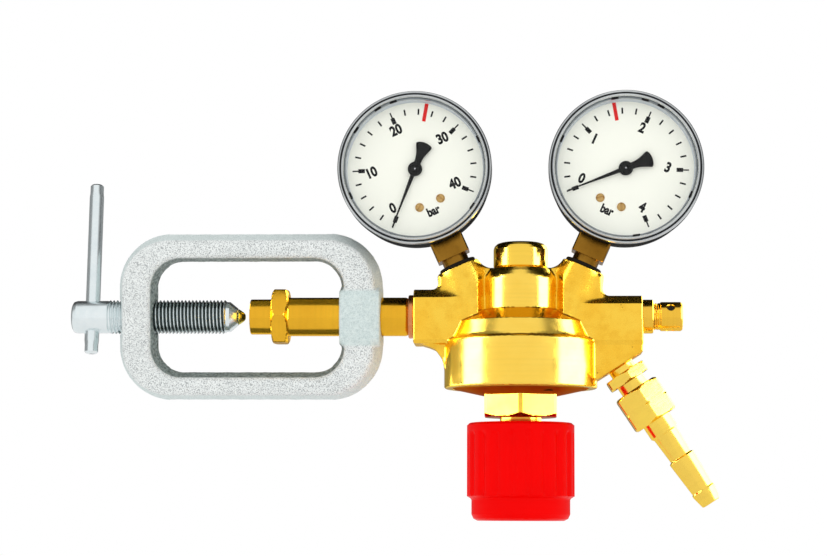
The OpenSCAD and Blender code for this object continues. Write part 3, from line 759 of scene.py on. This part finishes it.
def light_the_brass():
    """A tall soft box at each side for the brass, and a faint one in front for the dials."""
    brass = made_of("brass_parts", core_brass, inlet_brass, plug_brass, bonnet_brass, underside_shade_brass,
                    relief_brass, outlet_brass)
    soft_box("left_box", -93.0, 1.80, 1.9, BOX_RADIANCE, brass)
    soft_box("right_box", 108.0, 3.0, 1.9, BOX_RADIANCE, brass)
    soft_box("dial_box", 0.0, 1.0, 1.0, 1.1, made_of("dial_parts", dial_white))


def lay_floor():
    """A pale round floor, well below the object."""
    radii = [0.03 * i for i in range(51)]
    angle = np.linspace(0, 2 * math.pi, FLOOR_SIDES, endpoint=False)
    verts = [(0.06 + r * math.cos(a), r * math.sin(a), FLOOR_HEIGHT) for r in radii for a in angle]
    mesh = bpy.data.meshes.new("floor")
    mesh.from_pydata(verts, [], grid_faces(len(radii), FLOOR_SIDES).tolist())
    mesh.shade_smooth()
    mesh.materials.append(make_floor())
    piece = bpy.data.objects.new("floor", mesh)
    scene.collection.objects.link(piece)


# ---- inlet

def make_inlet():
    line = rounded([(2.6, 1.6), (5.0, 1.6), (5.0, 0.0), (7.3, 0.0), (7.3, 8.6), (7.3, 9.2)], 0.5)
    line += fine([(11.6, 9.2), (11.6, 16.0)], 0.35)
    line += rounded([(8.3, 16.0), (8.0, 16.4), (8.0, 46.0), (8.0, 64.6), (7.5, 65.7), (3.0, 65.7)], 0.4)
    turned("inlet_stem", line, along_x(), inlet_brass, count=192, shape=hexagon(22.0, 1.3, 9.2, 16.0, 0.0),
           crease=30.0)
    washer = rounded([(7.2, 65.7), (8.8, 65.7), (9.0, 66.2), (9.0, 67.5), (8.8, 68.0), (7.2, 68.0)], 0.3)
    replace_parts(spun("inlet_washer_skin", washer, along_x(), copper, "seal_copper", count=96),
                "inlet_seal_washer")


# ---- forged body

CORE_LINE = [(0, -29.9), (31.0, -29.9), (31.5, -29.3), (31.5, -10.9), (31.2, -10.2), (30.4, -9.7),
             (29.5, -9.2), (28.9, -8.3), (26.2, -2.5), (15.4, 2.7), (15.3, 15.3), (14.9, 16.4), (13.5, 18.3),
             (12.0, 19.8), (11.15, 20.0), (0, 20.0)]
ARMS_LOW = -11.7


def body_parts(x, y, z):
    """The machined core and the forged arms, before they are joined and bored."""
    off_axis = np.abs(x - BODY_X)
    core = polygon_field(np.sqrt((x - BODY_X) ** 2 + y * y), z, CORE_LINE)
    thin = eased(unit((27.0 - off_axis) / 12.0))
    side_y = np.abs(y) + 1.6 * thin

    def block(x0, x1, half, high, slope):
        """An arm with a flat top and cut corners, thinner beside the core."""
        outline = [(-half, ARMS_LOW + 1.2), (1.2 - half, ARMS_LOW), (half - 1.2, ARMS_LOW),
                   (half, ARMS_LOW + 1.2), (half, high - slope), (half - 4.0, high), (4.0 - half, high),
                   (-half, high - slope)]
        outline = polygon_field(np.abs(y) + 6.3 * thin, z, outline, 0.5)
        return slab(outline, x - (x0 + x1) / 2, (x1 - x0) / 2, 0.5)

    arms = block(68.0, BODY_X - 8, 10.5, 10.7, 3.6)
    arms = soft_min(arms, block(BODY_X + 8, 162.0, 10.0, 8.1, 3.7), 1.0)
    depth = 60.0 / math.cos(math.radians(GAUGE_LEAN))
    for side in GAUGES.values():
        u, v, w = to_local(stem_frame(side), x, y, z)
        slim = 5.5 * unit((17.5 - off_axis) / 3.0) * unit((18.0 - z) / 6.0)
        around = np.sqrt(u * u + (np.abs(v) + slim) ** 2)
        boss = polygon_field(around, w, [(0, -depth), (10.5, -depth), (8.75, -43.2), (0, -43.2)], 0.35)
        near = [(0, 0), (side * 23, 0), (side * 22, 22), (side * 10, 19.6), (0, 19.6)]
        far = [(side * 8, 2), (side * 33.8, 8), (side * 33.8, 16.6), (side * 22, 16.6)]
        web = slab(polygon_field(x - BODY_X, z, near, 1.0), side_y, 5.0, 1.2)
        wing = slab(polygon_field(x - BODY_X, z, far, 1.0), side_y, 6.5, 1.6)
        arms = soft_min(arms, soft_min(boss, soft_min(web, wing, 1.5), 3.0), 3.4)
    lug = [(130, -2), (162, -2), (162, -15), (144, -26.3), (130, -26.3)]
    arms = soft_min(arms, slab(polygon_field(x, z, lug, 0.4), y, 9.2, 0.7), 1.2)
    foot = [(72.5, -9), (90, -9), (90, -22), (81, -22), (79.6, -17.6), (77, -14), (72.5, -11.6)]
    return core, soft_min(arms, slab(polygon_field(x, z, foot, 0.6), y, 7.0, 1.5), 2.4)


def body_field(x, y, z):
    core, arms = body_parts(x, y, z)
    solid = soft_min(core, arms, 0.9)
    centred = (x - BODY_X, y)
    holes = [rod_field(*centred, z, 8.0, 7.0, 22.0), rod_field(*centred, z, 7.0, 3.0, 8.0),
             rod_field(*centred, z, 24.0, -17.0, -9.0), rod_field(*centred, z, 28.0, -32.0, -16.0),
             rod_field(y, z, x, 7.0, 66.0, 82.0), rod_field(y, z, x, 7.0, 150.0, 164.0),
             rod_field(*to_local(outlet_frame(), x, y, z), 6.0, -6.0, 12.0)]
    for side in GAUGES.values():
        holes.append(rod_field(*to_local(stem_frame(side), x, y, z), 6.6, -55.2, -42.0))
    for hole in holes:
        solid = soft_max(solid, -hole, 0.25)
    return solid


def make_body():
    piece = skin("main_body_skin", body_field, (67.4, -32.0, -30.6), (163.0, 32.0, 26.0),
                 0.55, np.eye(4), core_brass)
    points = points_of(piece)
    core, arms = body_parts(*points.T)
    share = unit(0.5 + (arms - core) / 0.7)
    ends = np.maximum(unit(68.4 - points[:, 0]), unit(points[:, 0] - 161.6))
    for side in GAUGES.values():
        u, v, w = to_local(stem_frame(side), *points.T)
        ends = np.maximum(ends, unit((w + 43.6) * 3) * (np.hypot(u, v) < 9.5))
    paint(piece, "machined", np.maximum(share, ends))
    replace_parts(piece, "main_body")


def make_plug():
    line = rounded([(0.0, 30.6), (7.6, 30.6), (8.15, 30.6, 0.8), (9.6, 30.1), (10.7, 29.1), (11.15, 27.8),
                    (11.15, 20.6), (10.7, 20.0), (8.0, 20.0), (8.0, 14.0), (0.0, 14.0)], 0.35)
    turned("valve_plug", line, upright(), plug_brass, count=160)


# ---- bonnet and knob

def make_bonnet():
    disc = rounded([(22.0, -18.2), (27.95, -18.2), (27.95, -29.3), (27.3, -30.2), (16.4, -32.6),
                    (14.0, -32.7)], 0.5)
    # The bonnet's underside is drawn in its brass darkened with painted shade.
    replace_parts(spun("bonnet_disc", disc, upright(), underside_shade_brass, count=160), "bonnet")
    prism = [(12.5, -32.4)] + fine([(17.03, -32.4), (17.03, -41.7)], 0.3) + rounded(
        [(14.2, -41.7), (8.5, -41.7), (8.5, -51.6), (8.0, -52.0), (5.1, -52.0)], 0.3)
    spun("bonnet_hexagon", prism, upright(), bonnet_brass, count=192, shape=hexagon(29.5, 1.4, -41.7, -30.0),
         crease=30.0)
    inner = [(27.9, -18.2), (22.0, -18.2), (22.0, -26.4), (12.4, -26.4), (12.4, -38.3), (5.1, -38.3),
             (5.1, -51.8)]
    spun("bonnet_bore", rounded(inner, 0.3), upright(), bonnet_brass, count=96)
    # Painted shade: a black cup under the bonnet stands for the shade inside a vent hole.
    hole = rounded([(0.0, -29.4), (1.3, -29.4), (1.55, -29.6), (1.55, -30.9), (2.1, -31.35), (2.3, -31.3)],
                   0.1)
    spun("bonnet_vent_shade", hole, upright(BODY_X + 11, -17.2, -0.35), rubber_and_shade, count=32)


def make_knob():
    line = rounded([(8.7, -62.0), (17.0, -62.0), (17.6, -61.0), (17.6, -44.6), (18.2, -44.0), (21.0, -44.0),
                    (22.1, -45.0)], 0.5)[:-1]
    line += fine([(22.1, -45.0), (22.1, -74.0)], 0.6)
    line += rounded([(22.1, -74.2), (20.6, -74.9), (20.25, -75.6), (20.25, -81.4), (19.4, -83.2),
                     (17.8, -84.0, 0.6), (15.4, -84.0), (14.6, -83.2), (0.0, -83.0)], 0.5)[1:]

    def flutes(angle, r, h):
        """Twenty flutes that run out below the rim and above the foot."""
        wave = 0.5 + 0.5 * np.cos(20 * (angle - math.radians(9)))
        fade = unit((-47.4 - h) / 1.6) ** 0.7 * unit((h + 74.4) / 0.9)
        return np.where(r > 20.4, r - 0.95 * wave ** 2.2 * fade, r), h

    turned("knob", line, upright(), knob_red, "knob_plastic", "knob", 640, flutes, 42.0)


# ---- relief valve and outlet

def make_relief():
    holes_at, holes_x = (55, 175, 295), 173.7
    seat = rounded([(5.75, 162.0), (7.0, 161.4), (7.0, 166.2), (6.7, 166.6), (5.9, 166.6), (5.75, 166.0)],
                   0.25)
    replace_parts(spun("relief_seat_skin", seat, along_x(), relief_brass, count=96), "relief_body")
    end = rounded([(5.6, 169.5), (6.0, 169.7), (6.0, 177.8), (5.5, 178.6), (3.9, 178.7), (3.6, 178.2),
                   (0.0, 178.2)], 0.25)
    line = fine([(5.55, 160.0), (5.55, 169.4)], 0.09) + [p for p in end if p[1] < 170.2]
    line += fine([(6.0, 170.3), (6.0, 177.4)], 0.16) + [p for p in end if p[1] > 177.5]
    cut = thread(1.0, 0.32, 160.0, 169.2)

    def shape(angle, r, h):
        wall = (r > 5.9) & (h > 170)
        r, h = cut(angle, r, h)
        for at in holes_at:
            around = (angle - math.radians(90 + at) + math.pi) % (2 * math.pi) - math.pi
            gap = np.sqrt((around * 6.0) ** 2 + (h - holes_x) ** 2)
            r = np.where(wall, r - 1.7 * unit((1.65 - gap) / 0.25), r)
        return r, h

    turned("relief_cap", line, along_x(), relief_brass, count=240, shape=shape, crease=40.0)
    # Painted shade: a black dish at the bottom of each of the cap's holes stands for the shade inside it.
    hole_shade = rounded([(0.0, 0.35), (0.9, 0.3), (1.45, 0.1), (1.5, -0.2)], 0.1)[::-1]
    for n, at in enumerate(holes_at):
        s, c = sin_cos(90 + at)
        hole = frame_of((holes_x, c * 5.0, s * 5.0), (1, 0, 0), (0, -s, c), (0, c, s))
        spun(f"relief_hole_shade_{n + 1}", hole_shade, hole, rubber_and_shade, count=32)


def make_outlet():
    place = outlet_frame()
    line = rounded([(5.95, 0.4), (5.5, -0.1), (5.5, -2.5), (7.4, -2.5)], 0.3)
    line += fine([(10.05, -2.5), (10.05, -6.8)], 0.25)
    line += rounded([(7.4, -6.8), (6.0, -6.9), (6.0, -11.9), (6.6, -12.2)], 0.3)
    line += fine([(7.5, -12.3), (7.5, -20.0)], 0.12) + [(5.9, -20.0), (2.5, -20.0)]
    corners, cut = hexagon(17.4, 0.8, -6.8, -2.5), thread(1.5, 0.8, -20.2, -12.0, 7.45)

    def shape(angle, r, h):
        return cut(angle, *corners(angle, r, h))

    turned("outlet_nipple", line, place, outlet_brass, count=192, shape=shape, crease=32.0)

    low, high, across = -26.2, -10.7, 19.0
    corner = across / 2 / math.cos(math.pi / 6)
    line = [(7.6, high), (8.6, high)] + fine([(corner, high), (corner, low)], 0.25)
    line += rounded([(8.4, low), (6.9, low), (6.3, low + 0.5), (6.3, low + 2.4)], 0.25)
    flats = hexagon(across, 1.3, low, high)

    def notched(angle, r, h):
        """The nut's flats, with a small notch at the middle of each corner."""
        out, h = flats(angle, r, h)
        a = angle % (math.pi / 3) - math.pi / 6
        notch = np.clip(0.95 - np.abs(h - (low + high) / 2), 0, 0.95)
        return np.where((r > 10.0) & (np.abs(a) < 0.25), np.minimum(out, corner - 0.75 * notch), out), h

    turned("union_nut", line, place, outlet_brass, body="union_nut", count=288, shape=notched, crease=30.0)

    b1, b2, b3 = low - 6.5, low - 18.0, low - 33.8
    tip = b3 - 6.5
    barb = rounded([(2.5, -20.0), (5.8, -20.0), (7.1, -21.4), (7.1, -23.9), (6.2, -24.0), (6.2, b1 + 0.7),
                    (5.6, b1), (5.38, b1 - 0.2), (4.75, b2 + 0.15, 0.25), (5.72, b2 - 0.45, 0.35),
                    (4.75, b3 + 0.15, 0.25), (5.18, b3 - 0.4, 0.35), (5.15, b3 - 1.2), (4.15, tip + 0.3),
                    (3.7, tip), (3.2, tip), (2.5, tip + 0.9), (2.5, tip + 9.0)], 0.35)
    turned("hose_barb", barb, place, outlet_brass, body="hose_barb")


# ---- clamp yoke

def lumps(x, y, z):
    """The uneven skin of a casting."""
    a = np.sin(0.83 * x + 1.3 * np.sin(0.41 * z)) * np.sin(0.77 * z + 1.1 * np.sin(0.53 * y)) * np.sin(
        0.61 * y + 0.4)
    b = np.sin(1.9 * x + 2.1 * z + 0.7 * y) * np.sin(1.7 * z - 1.3 * x + 0.9 * y)
    return 0.07 * a + 0.035 * b


def yoke_window(x, y, z):
    return round_box(x, z, -0.5, 38.5, 23.0, 11.0) - np.abs(y) * 0.15


def yoke_field(x, y, z):
    lean = np.abs(y)
    outer = round_box(x, z, 0.0, 54.8, 34.4, 22.0) + lean * 0.235
    frame_part = soft_max(soft_max(outer, -yoke_window(x, y, z), 0.8), lean - 12.0, 2.6)
    boss = slab(round_box(y, z, 0.0, 12.3, 11.6, 4.0), x - 46.0, 8.4, 1.0)
    solid = soft_min(frame_part, boss, 1.6)
    solid = solid - 0.18 * np.exp(-(lean / 0.7) ** 2) * (np.abs(np.abs(x) - 46) < 12)
    solid = solid + lumps(x, y, z)
    solid = soft_max(solid, -rod_field(y, z, x, 8.08, 20.0, 70.0), 0.3)
    return soft_max(solid, -rod_field(y, z, x, 7.06, -70.0, -20.0), 0.6)


def make_yoke():
    place = rolled(YOKE_ROLL)
    piece = skin("yoke_skin", yoke_field, (-55.4, -12.8, -35.0), (55.4, 12.8, 35.0), 0.6,
                 place, cast, "yoke")
    x, y, z = (points_of(piece) @ place[:3, :3]).T
    band = unit((11.8 - np.abs(z)) / 0.8) * unit((x - 37.0) / 0.8)
    sides = unit((10.6 - np.abs(y)) / 1.0)
    paint(piece, "smooth_part", np.maximum(band, 0.7 * sides))
    # The window's inner faces, for a greener coat and painted shade.
    paint(piece, "inner_coat_and_shade", sides * unit((1.6 - yoke_window(x, y, z)) / 0.8))
    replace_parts(piece, "yoke")


def make_screw():
    line = rounded([(0.0, -74.6), (5.2, -74.6, 0.5), (6.3, -74.0), (6.75, -72.6), (6.75, -59.6),
                    (6.3, -59.0)], 0.5)
    line += fine([(7.0, -58.9), (7.0, -10.6)], 0.107)
    line += rounded([(6.2, -10.0), (6.2, -8.6), (3.5, -5.3), (3.1, -5.2), (2.1, -5.3), (2.1, -12.0)], 0.4)
    turned("clamp_screw", line, screw_frame(), screw_zinc, "zinc_steel", "clamp_screw", 112,
           thread(1.5, 0.86, -59.2, -10.0, 6.9), 50.0)
    tip = rounded([(0.0, -2.25), (0.95, -2.3), (1.75, -2.85), (3.1, -4.75), (3.2, -5.05), (2.0, -5.1),
                   (2.0, -16.0), (0.0, -16.0)], 0.3)
    turned("clamp_tip", tip, screw_frame(), tip_brass, body="clamp_tip", count=64)


def make_bar():
    """A plain bar whose ends are pinched: narrower across the view and wider in depth."""
    low, high, count = -15.3, 56.7, 64
    line = [(0.0, low)] + fine([(2.3, low), (3.0, low + 0.6), (3.0, high - 0.6), (2.3, high)], 0.4)
    line.append((0.0, high))
    verts = []
    for r, h in line:
        pinch = eased(max(0.0, min(1.0, (5.6 - min(h - low, high - h)) / 2.2)))
        verts += [(r * (1 - 0.075 * pinch) * math.cos(a), r * (1 + 0.12 * pinch) * math.sin(a), h)
                  for a in np.linspace(0, 2 * math.pi, count, endpoint=False)]
    piece = build("tommy_bar_skin", verts, grid_faces(len(line), count), bar_frame(), bar_zinc,
                  "tommy_bar", 40.0)
    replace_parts(piece, "tommy_bar")


# ---- gauges

def pointer_plate(name, outline, height, thickness, bevel, place, body):
    """A thin plate cut to an outline on the dial, with a small bevel round its face."""
    p = np.array(outline, float)
    if area_of(p) < 0:
        p = p[::-1]
    rings = [(p, height), (p, height + thickness - bevel), (inset(p, bevel), height + thickness)]
    verts = np.concatenate([np.column_stack([q, np.full(len(q), h)]) for q, h in rings])
    n = len(p)
    faces = [list(f) for f in grid_faces(len(rings), n)]
    faces += [list(range(n))[::-1], list(range((len(rings) - 1) * n, len(rings) * n))]
    return build(name, verts, faces, place, pointer_black, body, 30.0)


def dial_marks(name, quads, height, thickness, place, material):
    """Printed marks as one mesh: each mark is a thin raised quad."""
    verts, faces = [], []
    for quad in quads:
        n, k = len(verts), len(quad)
        verts += [(x, y, h) for h in (height, height + thickness) for x, y in quad]
        faces.append([n + k + i for i in range(k)])
        faces += [[n + i, n + (i + 1) % k, n + k + (i + 1) % k, n + k + i] for i in range(k)]
    build(name, verts, faces, place, material, crease=30.0)


def mark(angle, r0, r1, width):
    """A radial bar at a clockwise angle from the dial's top."""
    s, c = sin_cos(angle)
    h = width / 2
    return [(x * c + r * s, -x * s + r * c) for x, r in ((-h, r1), (h, r1), (h, r0), (-h, r0))]


def lettering(name, words, height, place):
    """Numerals as thin shapes. words: (text, x, y, size, width factor)."""
    verts, faces = [], []
    for text, cx, cy, size, stretch in words:
        curve = bpy.data.curves.new("numeral", "FONT")
        curve.body, curve.align_x, curve.align_y = text, "CENTER", "CENTER"
        curve.size, curve.resolution_u, curve.fill_mode = 1.0, 6, "FRONT"
        curve.offset = 0.046
        holder = bpy.data.objects.new("numeral", curve)
        scene.collection.objects.link(holder)
        bpy.context.view_layer.update()
        flat = bpy.data.meshes.new_from_object(holder.evaluated_get(bpy.context.evaluated_depsgraph_get()))
        co = np.array([v.co[:2] for v in flat.vertices])
        mid, tall = (co.max(0) + co.min(0)) / 2, co[:, 1].max() - co[:, 1].min()
        scale = size / tall
        n = len(verts)
        verts += [((x - mid[0]) * scale * stretch + cx, (y - mid[1]) * scale + cy, height) for x, y in co]
        faces += [[n + i for i in poly.vertices] for poly in flat.polygons]
        bpy.data.objects.remove(holder)
        bpy.data.curves.remove(curve)
        bpy.data.meshes.remove(flat)
    build(name, verts, faces, place, ink_black, crease=30.0)


def make_case(tag, face):
    """Case and bezel, with a black ring of painted shade in the bezel's seam, and the window's gasket."""
    case = rounded([(0.0, -7.4), (21.0, -7.4), (21.8, -8.0), (27.2, -8.0), (29.8, -7.0), (30.8, -4.6),
                    (30.8, 9.0), (30.8, 14.2), (29.5, 14.3), (29.4, 13.9), (29.4, -4.4), (27.2, -6.6),
                    (0.0, -6.5)], 0.4)
    turned(f"{tag}_case", case, face, enamel, "gauge_case_black", count=160)
    band = rounded([(30.85, 9.4), (31.1, 9.0), (31.5, 9.05), (31.7, 9.5), (31.7, 10.2), (31.4, 10.5),
                    (31.4, 10.9), (31.7, 11.2), (31.7, 16.35), (30.9, 16.35)], 0.22)
    spun(f"{tag}_bezel_band", band, face, enamel, "gauge_case_black", count=200)
    bezel = rounded([(30.9, 16.35), (31.6, 16.35), (31.75, 16.6), (31.75, 17.2), (31.55, 17.9), (31.1, 18.2),
                     (30.75, 17.9), (30.6, 17.3), (30.3, 17.3), (30.2, 18.3), (29.9, 18.95), (29.4, 18.9),
                     (29.05, 18.2), (28.95, 17.4), (28.7, 17.2), (28.25, 17.1), (28.2, 16.3), (30.85, 16.3)],
                    0.22)
    turned(f"{tag}_bezel", bezel, face, make_bezel(face), "bezel_steel", count=200)
    # Painted shade: a black ring in the bezel's groove stands for the shade of the seam.
    seam_shade = rounded([(30.25, 17.28), (30.25, 17.75), (30.45, 17.9), (30.7, 17.75), (30.7, 17.28)], 0.1)
    spun(f"{tag}_seam_shade_ring", seam_shade, face, rubber_and_shade, "gauge_seal", count=160)
    gasket = rounded([(28.3, 17.0), (28.35, 17.3), (28.6, 17.42), (28.85, 17.4), (28.9, 17.0)], 0.1)
    spun(f"{tag}_gasket_line", gasket, face, gasket_grey, "gauge_seal", count=160)


def make_dial_plate(tag, side, face):
    """What the reader sees: dial, grey ring, printed scale and numerals, slotted screws and window."""
    plate = rounded([(0.0, 10.4), (29.1, 10.4), (29.2, 10.8), (29.1, DIAL_TOP), (0.0, DIAL_TOP)], 0.15)
    turned(f"{tag}_dial", plate, face, dial_white, "dial_white", count=160)
    ring = rounded([(28.0, DIAL_TOP), (28.1, 11.25), (28.7, 14.36), (29.2, 14.36), (29.2, DIAL_TOP)], 0.08)
    turned(f"{tag}_dial_ring", ring, face, ring_grey, "ring_grey", count=160)
    marks = []
    for i in range(SCALE_STEPS + 1):
        at = SCALE_START + SCALE_STEP * i
        if i % 5 == 0:
            marks += [mark(at, 23.2, 25.9, 0.58), mark(at, 20.8, 23.5, 1.7)]
        else:
            marks.append(mark(at, 22.9, 25.4, 0.7))
    dial_marks(f"{tag}_scale", marks, DIAL_TOP, 0.05, face, ink_black)
    limit = SCALE_START + SCALE_STEPS * SCALE_STEP * (25 / 40 if side < 0 else 1.5 / 4)
    dial_marks(f"{tag}_limit_mark", [mark(limit, 20.4, 27.9, 1.5)], DIAL_TOP + 0.02, 0.05, face, ink_red)
    numbers = ("0", "10", "20", "30", "40") if side < 0 else ("0", "1", "2", "3", "4")
    spots = ((-14.9, -10.8), (-16.7, 6.3), (-0.6, 18.4), (15.6, 7.5), (12.6, -11.8))
    words = [(t, x, y, 4.5, 0.84) for t, (x, y) in zip(numbers, spots)] + [("bar", 0.0, -18.7, 3.9, 0.80)]
    lettering(f"{tag}_numerals", words, DIAL_TOP + 0.04, face)
    notches = [mark(a, 28.1, 28.95, 3.0) for a in (-33, -8, 6, 90, 148, 270)]
    dial_marks(f"{tag}_gasket_notches", notches, 17.44, 0.03, face, rubber_and_shade)

    def slotted(angle, r, h):
        sunk = (np.abs(r * np.sin(angle)) < 0.32) & (r < 1.6) & (h > 11.4)
        return r, np.where(sunk, h - 0.5, h)

    line = [(0.0, 11.75)] + fine([(0.1, 12.0), (1.2, 11.95), (1.65, 11.7)], 0.12)
    line += [(1.82, 11.4), (1.82, DIAL_TOP)]
    for n, x in enumerate((-4.7, 4.7)):
        s, c = sin_cos(35 + 80 * n)
        axes = face[:3, :3]
        where = frame_of(axes @ np.array([x, -15.2, 0]) + face[:3, 3], axes @ np.array([c, s, 0]),
                         axes @ np.array([-s, c, 0]), face[:3, 2])
        piece = spun(f"{tag}_dial_screw_{n + 1}", line[::-1], where, dial_screw_brass, "movement_brass",
                     count=96, shape=slotted, crease=30.0)
        if n == 0:
            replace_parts(piece, f"{tag}_dial_screws")
    window = rounded([(0.0, 14.42), (30.4, 14.42), (30.6, 14.8), (30.6, 15.9), (30.4, 16.18), (0.0, 16.2)],
                     0.15)
    turned(f"{tag}_window", window, face, glass, "window_clear")


def make_pointer(tag, side):
    """A long needle with a fanned tail, and a turned hub."""
    place, body = dial_frame(side, SCALE_START), f"{tag}_pointer"
    half = [(0.22, 25.7), (0.42, 15.0), (0.85, 2.6), (1.1, 0.0), (1.35, -2.6), (1.5, -4.6), (1.85, -6.2),
            (2.5, -8.0), (3.15, -9.4), (3.4, -10.2), (3.2, -10.75), (2.4, -11.2), (1.2, -11.55),
            (0.0, -11.65)]
    outline = half + [(-x, y) for x, y in half[-2::-1]]
    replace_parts(pointer_plate(f"{tag}_pointer_skin", outline, 12.9, 0.5, 0.08, place, body), f"{tag}_pointer")
    hub = rounded([(0.3, 13.6), (0.3, 14.05), (0.75, 14.05), (0.85, 13.75), (2.3, 13.75), (2.95, 13.45),
                   (3.0, 12.6), (0.7, 12.5)], 0.1)
    spun(f"{tag}_pointer_hub", hub, place, pointer_black, "pointer_black", body, 64)


def make_socket(tag, stem):
    """Wrench square, round neck and screwed end, the block inside the case, and the washer."""
    def square(angle, r, h):
        a = (angle + math.pi / 4) % (math.pi / 2) - math.pi / 4
        flat = np.minimum(np.minimum(7.0 / np.cos(a), 9.45), 8.9 + (h + 38.7) * 1.7)
        return np.where(r > 6.9, flat, r), h

    post = [(1.5, -53.6), (6.1, -53.6), (6.5, -53.0), (6.5, -43.2), (5.5, -42.9), (5.5, -38.7)]
    post += fine([(9.9, -38.7), (9.9, -30.6)], 0.3) + [(5.4, -30.4), (5.4, -26.0)]
    turned(f"{tag}_socket", post, stem, socket_brass, "gauge_brass", count=192, shape=square, crease=30.0)
    inside = rounded([(1.5, -30.0), (6.0, -30.0), (6.2, -29.0), (6.2, -17.2), (5.6, -16.6), (1.5, -16.6)],
                     0.3)
    spun(f"{tag}_socket_block", inside, stem, stamped, "gauge_brass", count=48)
    washer = rounded([(6.6, -43.2), (7.5, -43.2), (7.75, -42.9), (7.75, -42.0), (7.5, -41.7), (5.6, -41.7)],
                     0.2)
    turned(f"{tag}_washer", washer, stem, fibre, "gauge_seal", count=80)


def make_gauge(tag, side):
    make_case(tag, dial_frame(side))
    make_dial_plate(tag, side, dial_frame(side))
    make_pointer(tag, side)
    make_socket(tag, stem_frame(side))


# ---- springs and inner parts

def make_spring(node, place, radius, wire, turns, length):
    """A coil that stands on its moving part and is pressed against its fixed end, at local z = length."""
    sides, around = 12, 40
    rows = int(turns * around) + 1
    share = np.linspace(0, 1, rows)
    angle = share * turns * 2 * math.pi
    rise = wire + share * (length - 2 * wire)
    centre = np.column_stack([radius * np.cos(angle), radius * np.sin(angle), rise])
    outwards = np.column_stack([np.cos(angle), np.sin(angle), np.zeros(rows)])
    ring = np.linspace(0, 2 * math.pi, sides, endpoint=False)[None, :, None]
    verts = (centre[:, None] + wire * (np.cos(ring) * outwards[:, None]
                                       + np.sin(ring) * np.array([0.0, 0.0, 1.0]))).reshape(-1, 3)
    faces = [list(f) for f in grid_faces(rows, sides)[:, ::-1]]
    faces += [list(range(sides)), list(range((rows - 1) * sides, rows * sides))[::-1]]
    piece = build(f"{node}_coil", verts, faces, place, spring_wire, crease=50.0)
    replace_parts(piece, node)
    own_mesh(piece)


def make_springs():
    make_spring("main_spring", upright(z=-35.5), 9.6, 1.0, 4.5, 16.0)
    make_spring("valve_spring", upright(z=10.6), 3.2, 0.4, 4.5, 6.4)
    make_spring("relief_spring", along_x(157.8), 3.1, 0.4, 7.0, 18.7)


def finish_inner_nodes():
    """Inner CAD parts stay as they are and take their own materials."""
    table = {"inlet_gasket": rubber_and_shade, "inlet_filter": sinter, "diaphragm": rubber_and_shade, "slip_ring": stamped,
             "diaphragm_plate": bright_steel, "spring_button": bright_steel, "adjusting_spindle": stem_zinc,
             "valve_seat": polymer, "valve_poppet": bright_steel, "relief_poppet": bright_steel}
    for tag in GAUGES:
        table.update({f"{tag}_pinion": bright_steel, f"{tag}_sector": stamped, f"{tag}_link": stamped,
                      f"{tag}_bourdon_tube": bronze, f"{tag}_movement": stamped})
    for node, material in table.items():
        mesh = frame["nodes"][node].data
        for i in range(len(mesh.materials)):
            mesh.materials[i] = material
        if not mesh.materials:
            mesh.materials.append(material)


set_camera()
light_the_scene()
lay_floor()
make_inlet()
make_body()
make_plug()
make_bonnet()
make_knob()
make_relief()
make_outlet()
make_yoke()
make_screw()
make_bar()
for gauge, gauge_side in GAUGES.items():
    make_gauge(gauge, gauge_side)
make_springs()
finish_inner_nodes()
light_the_brass()
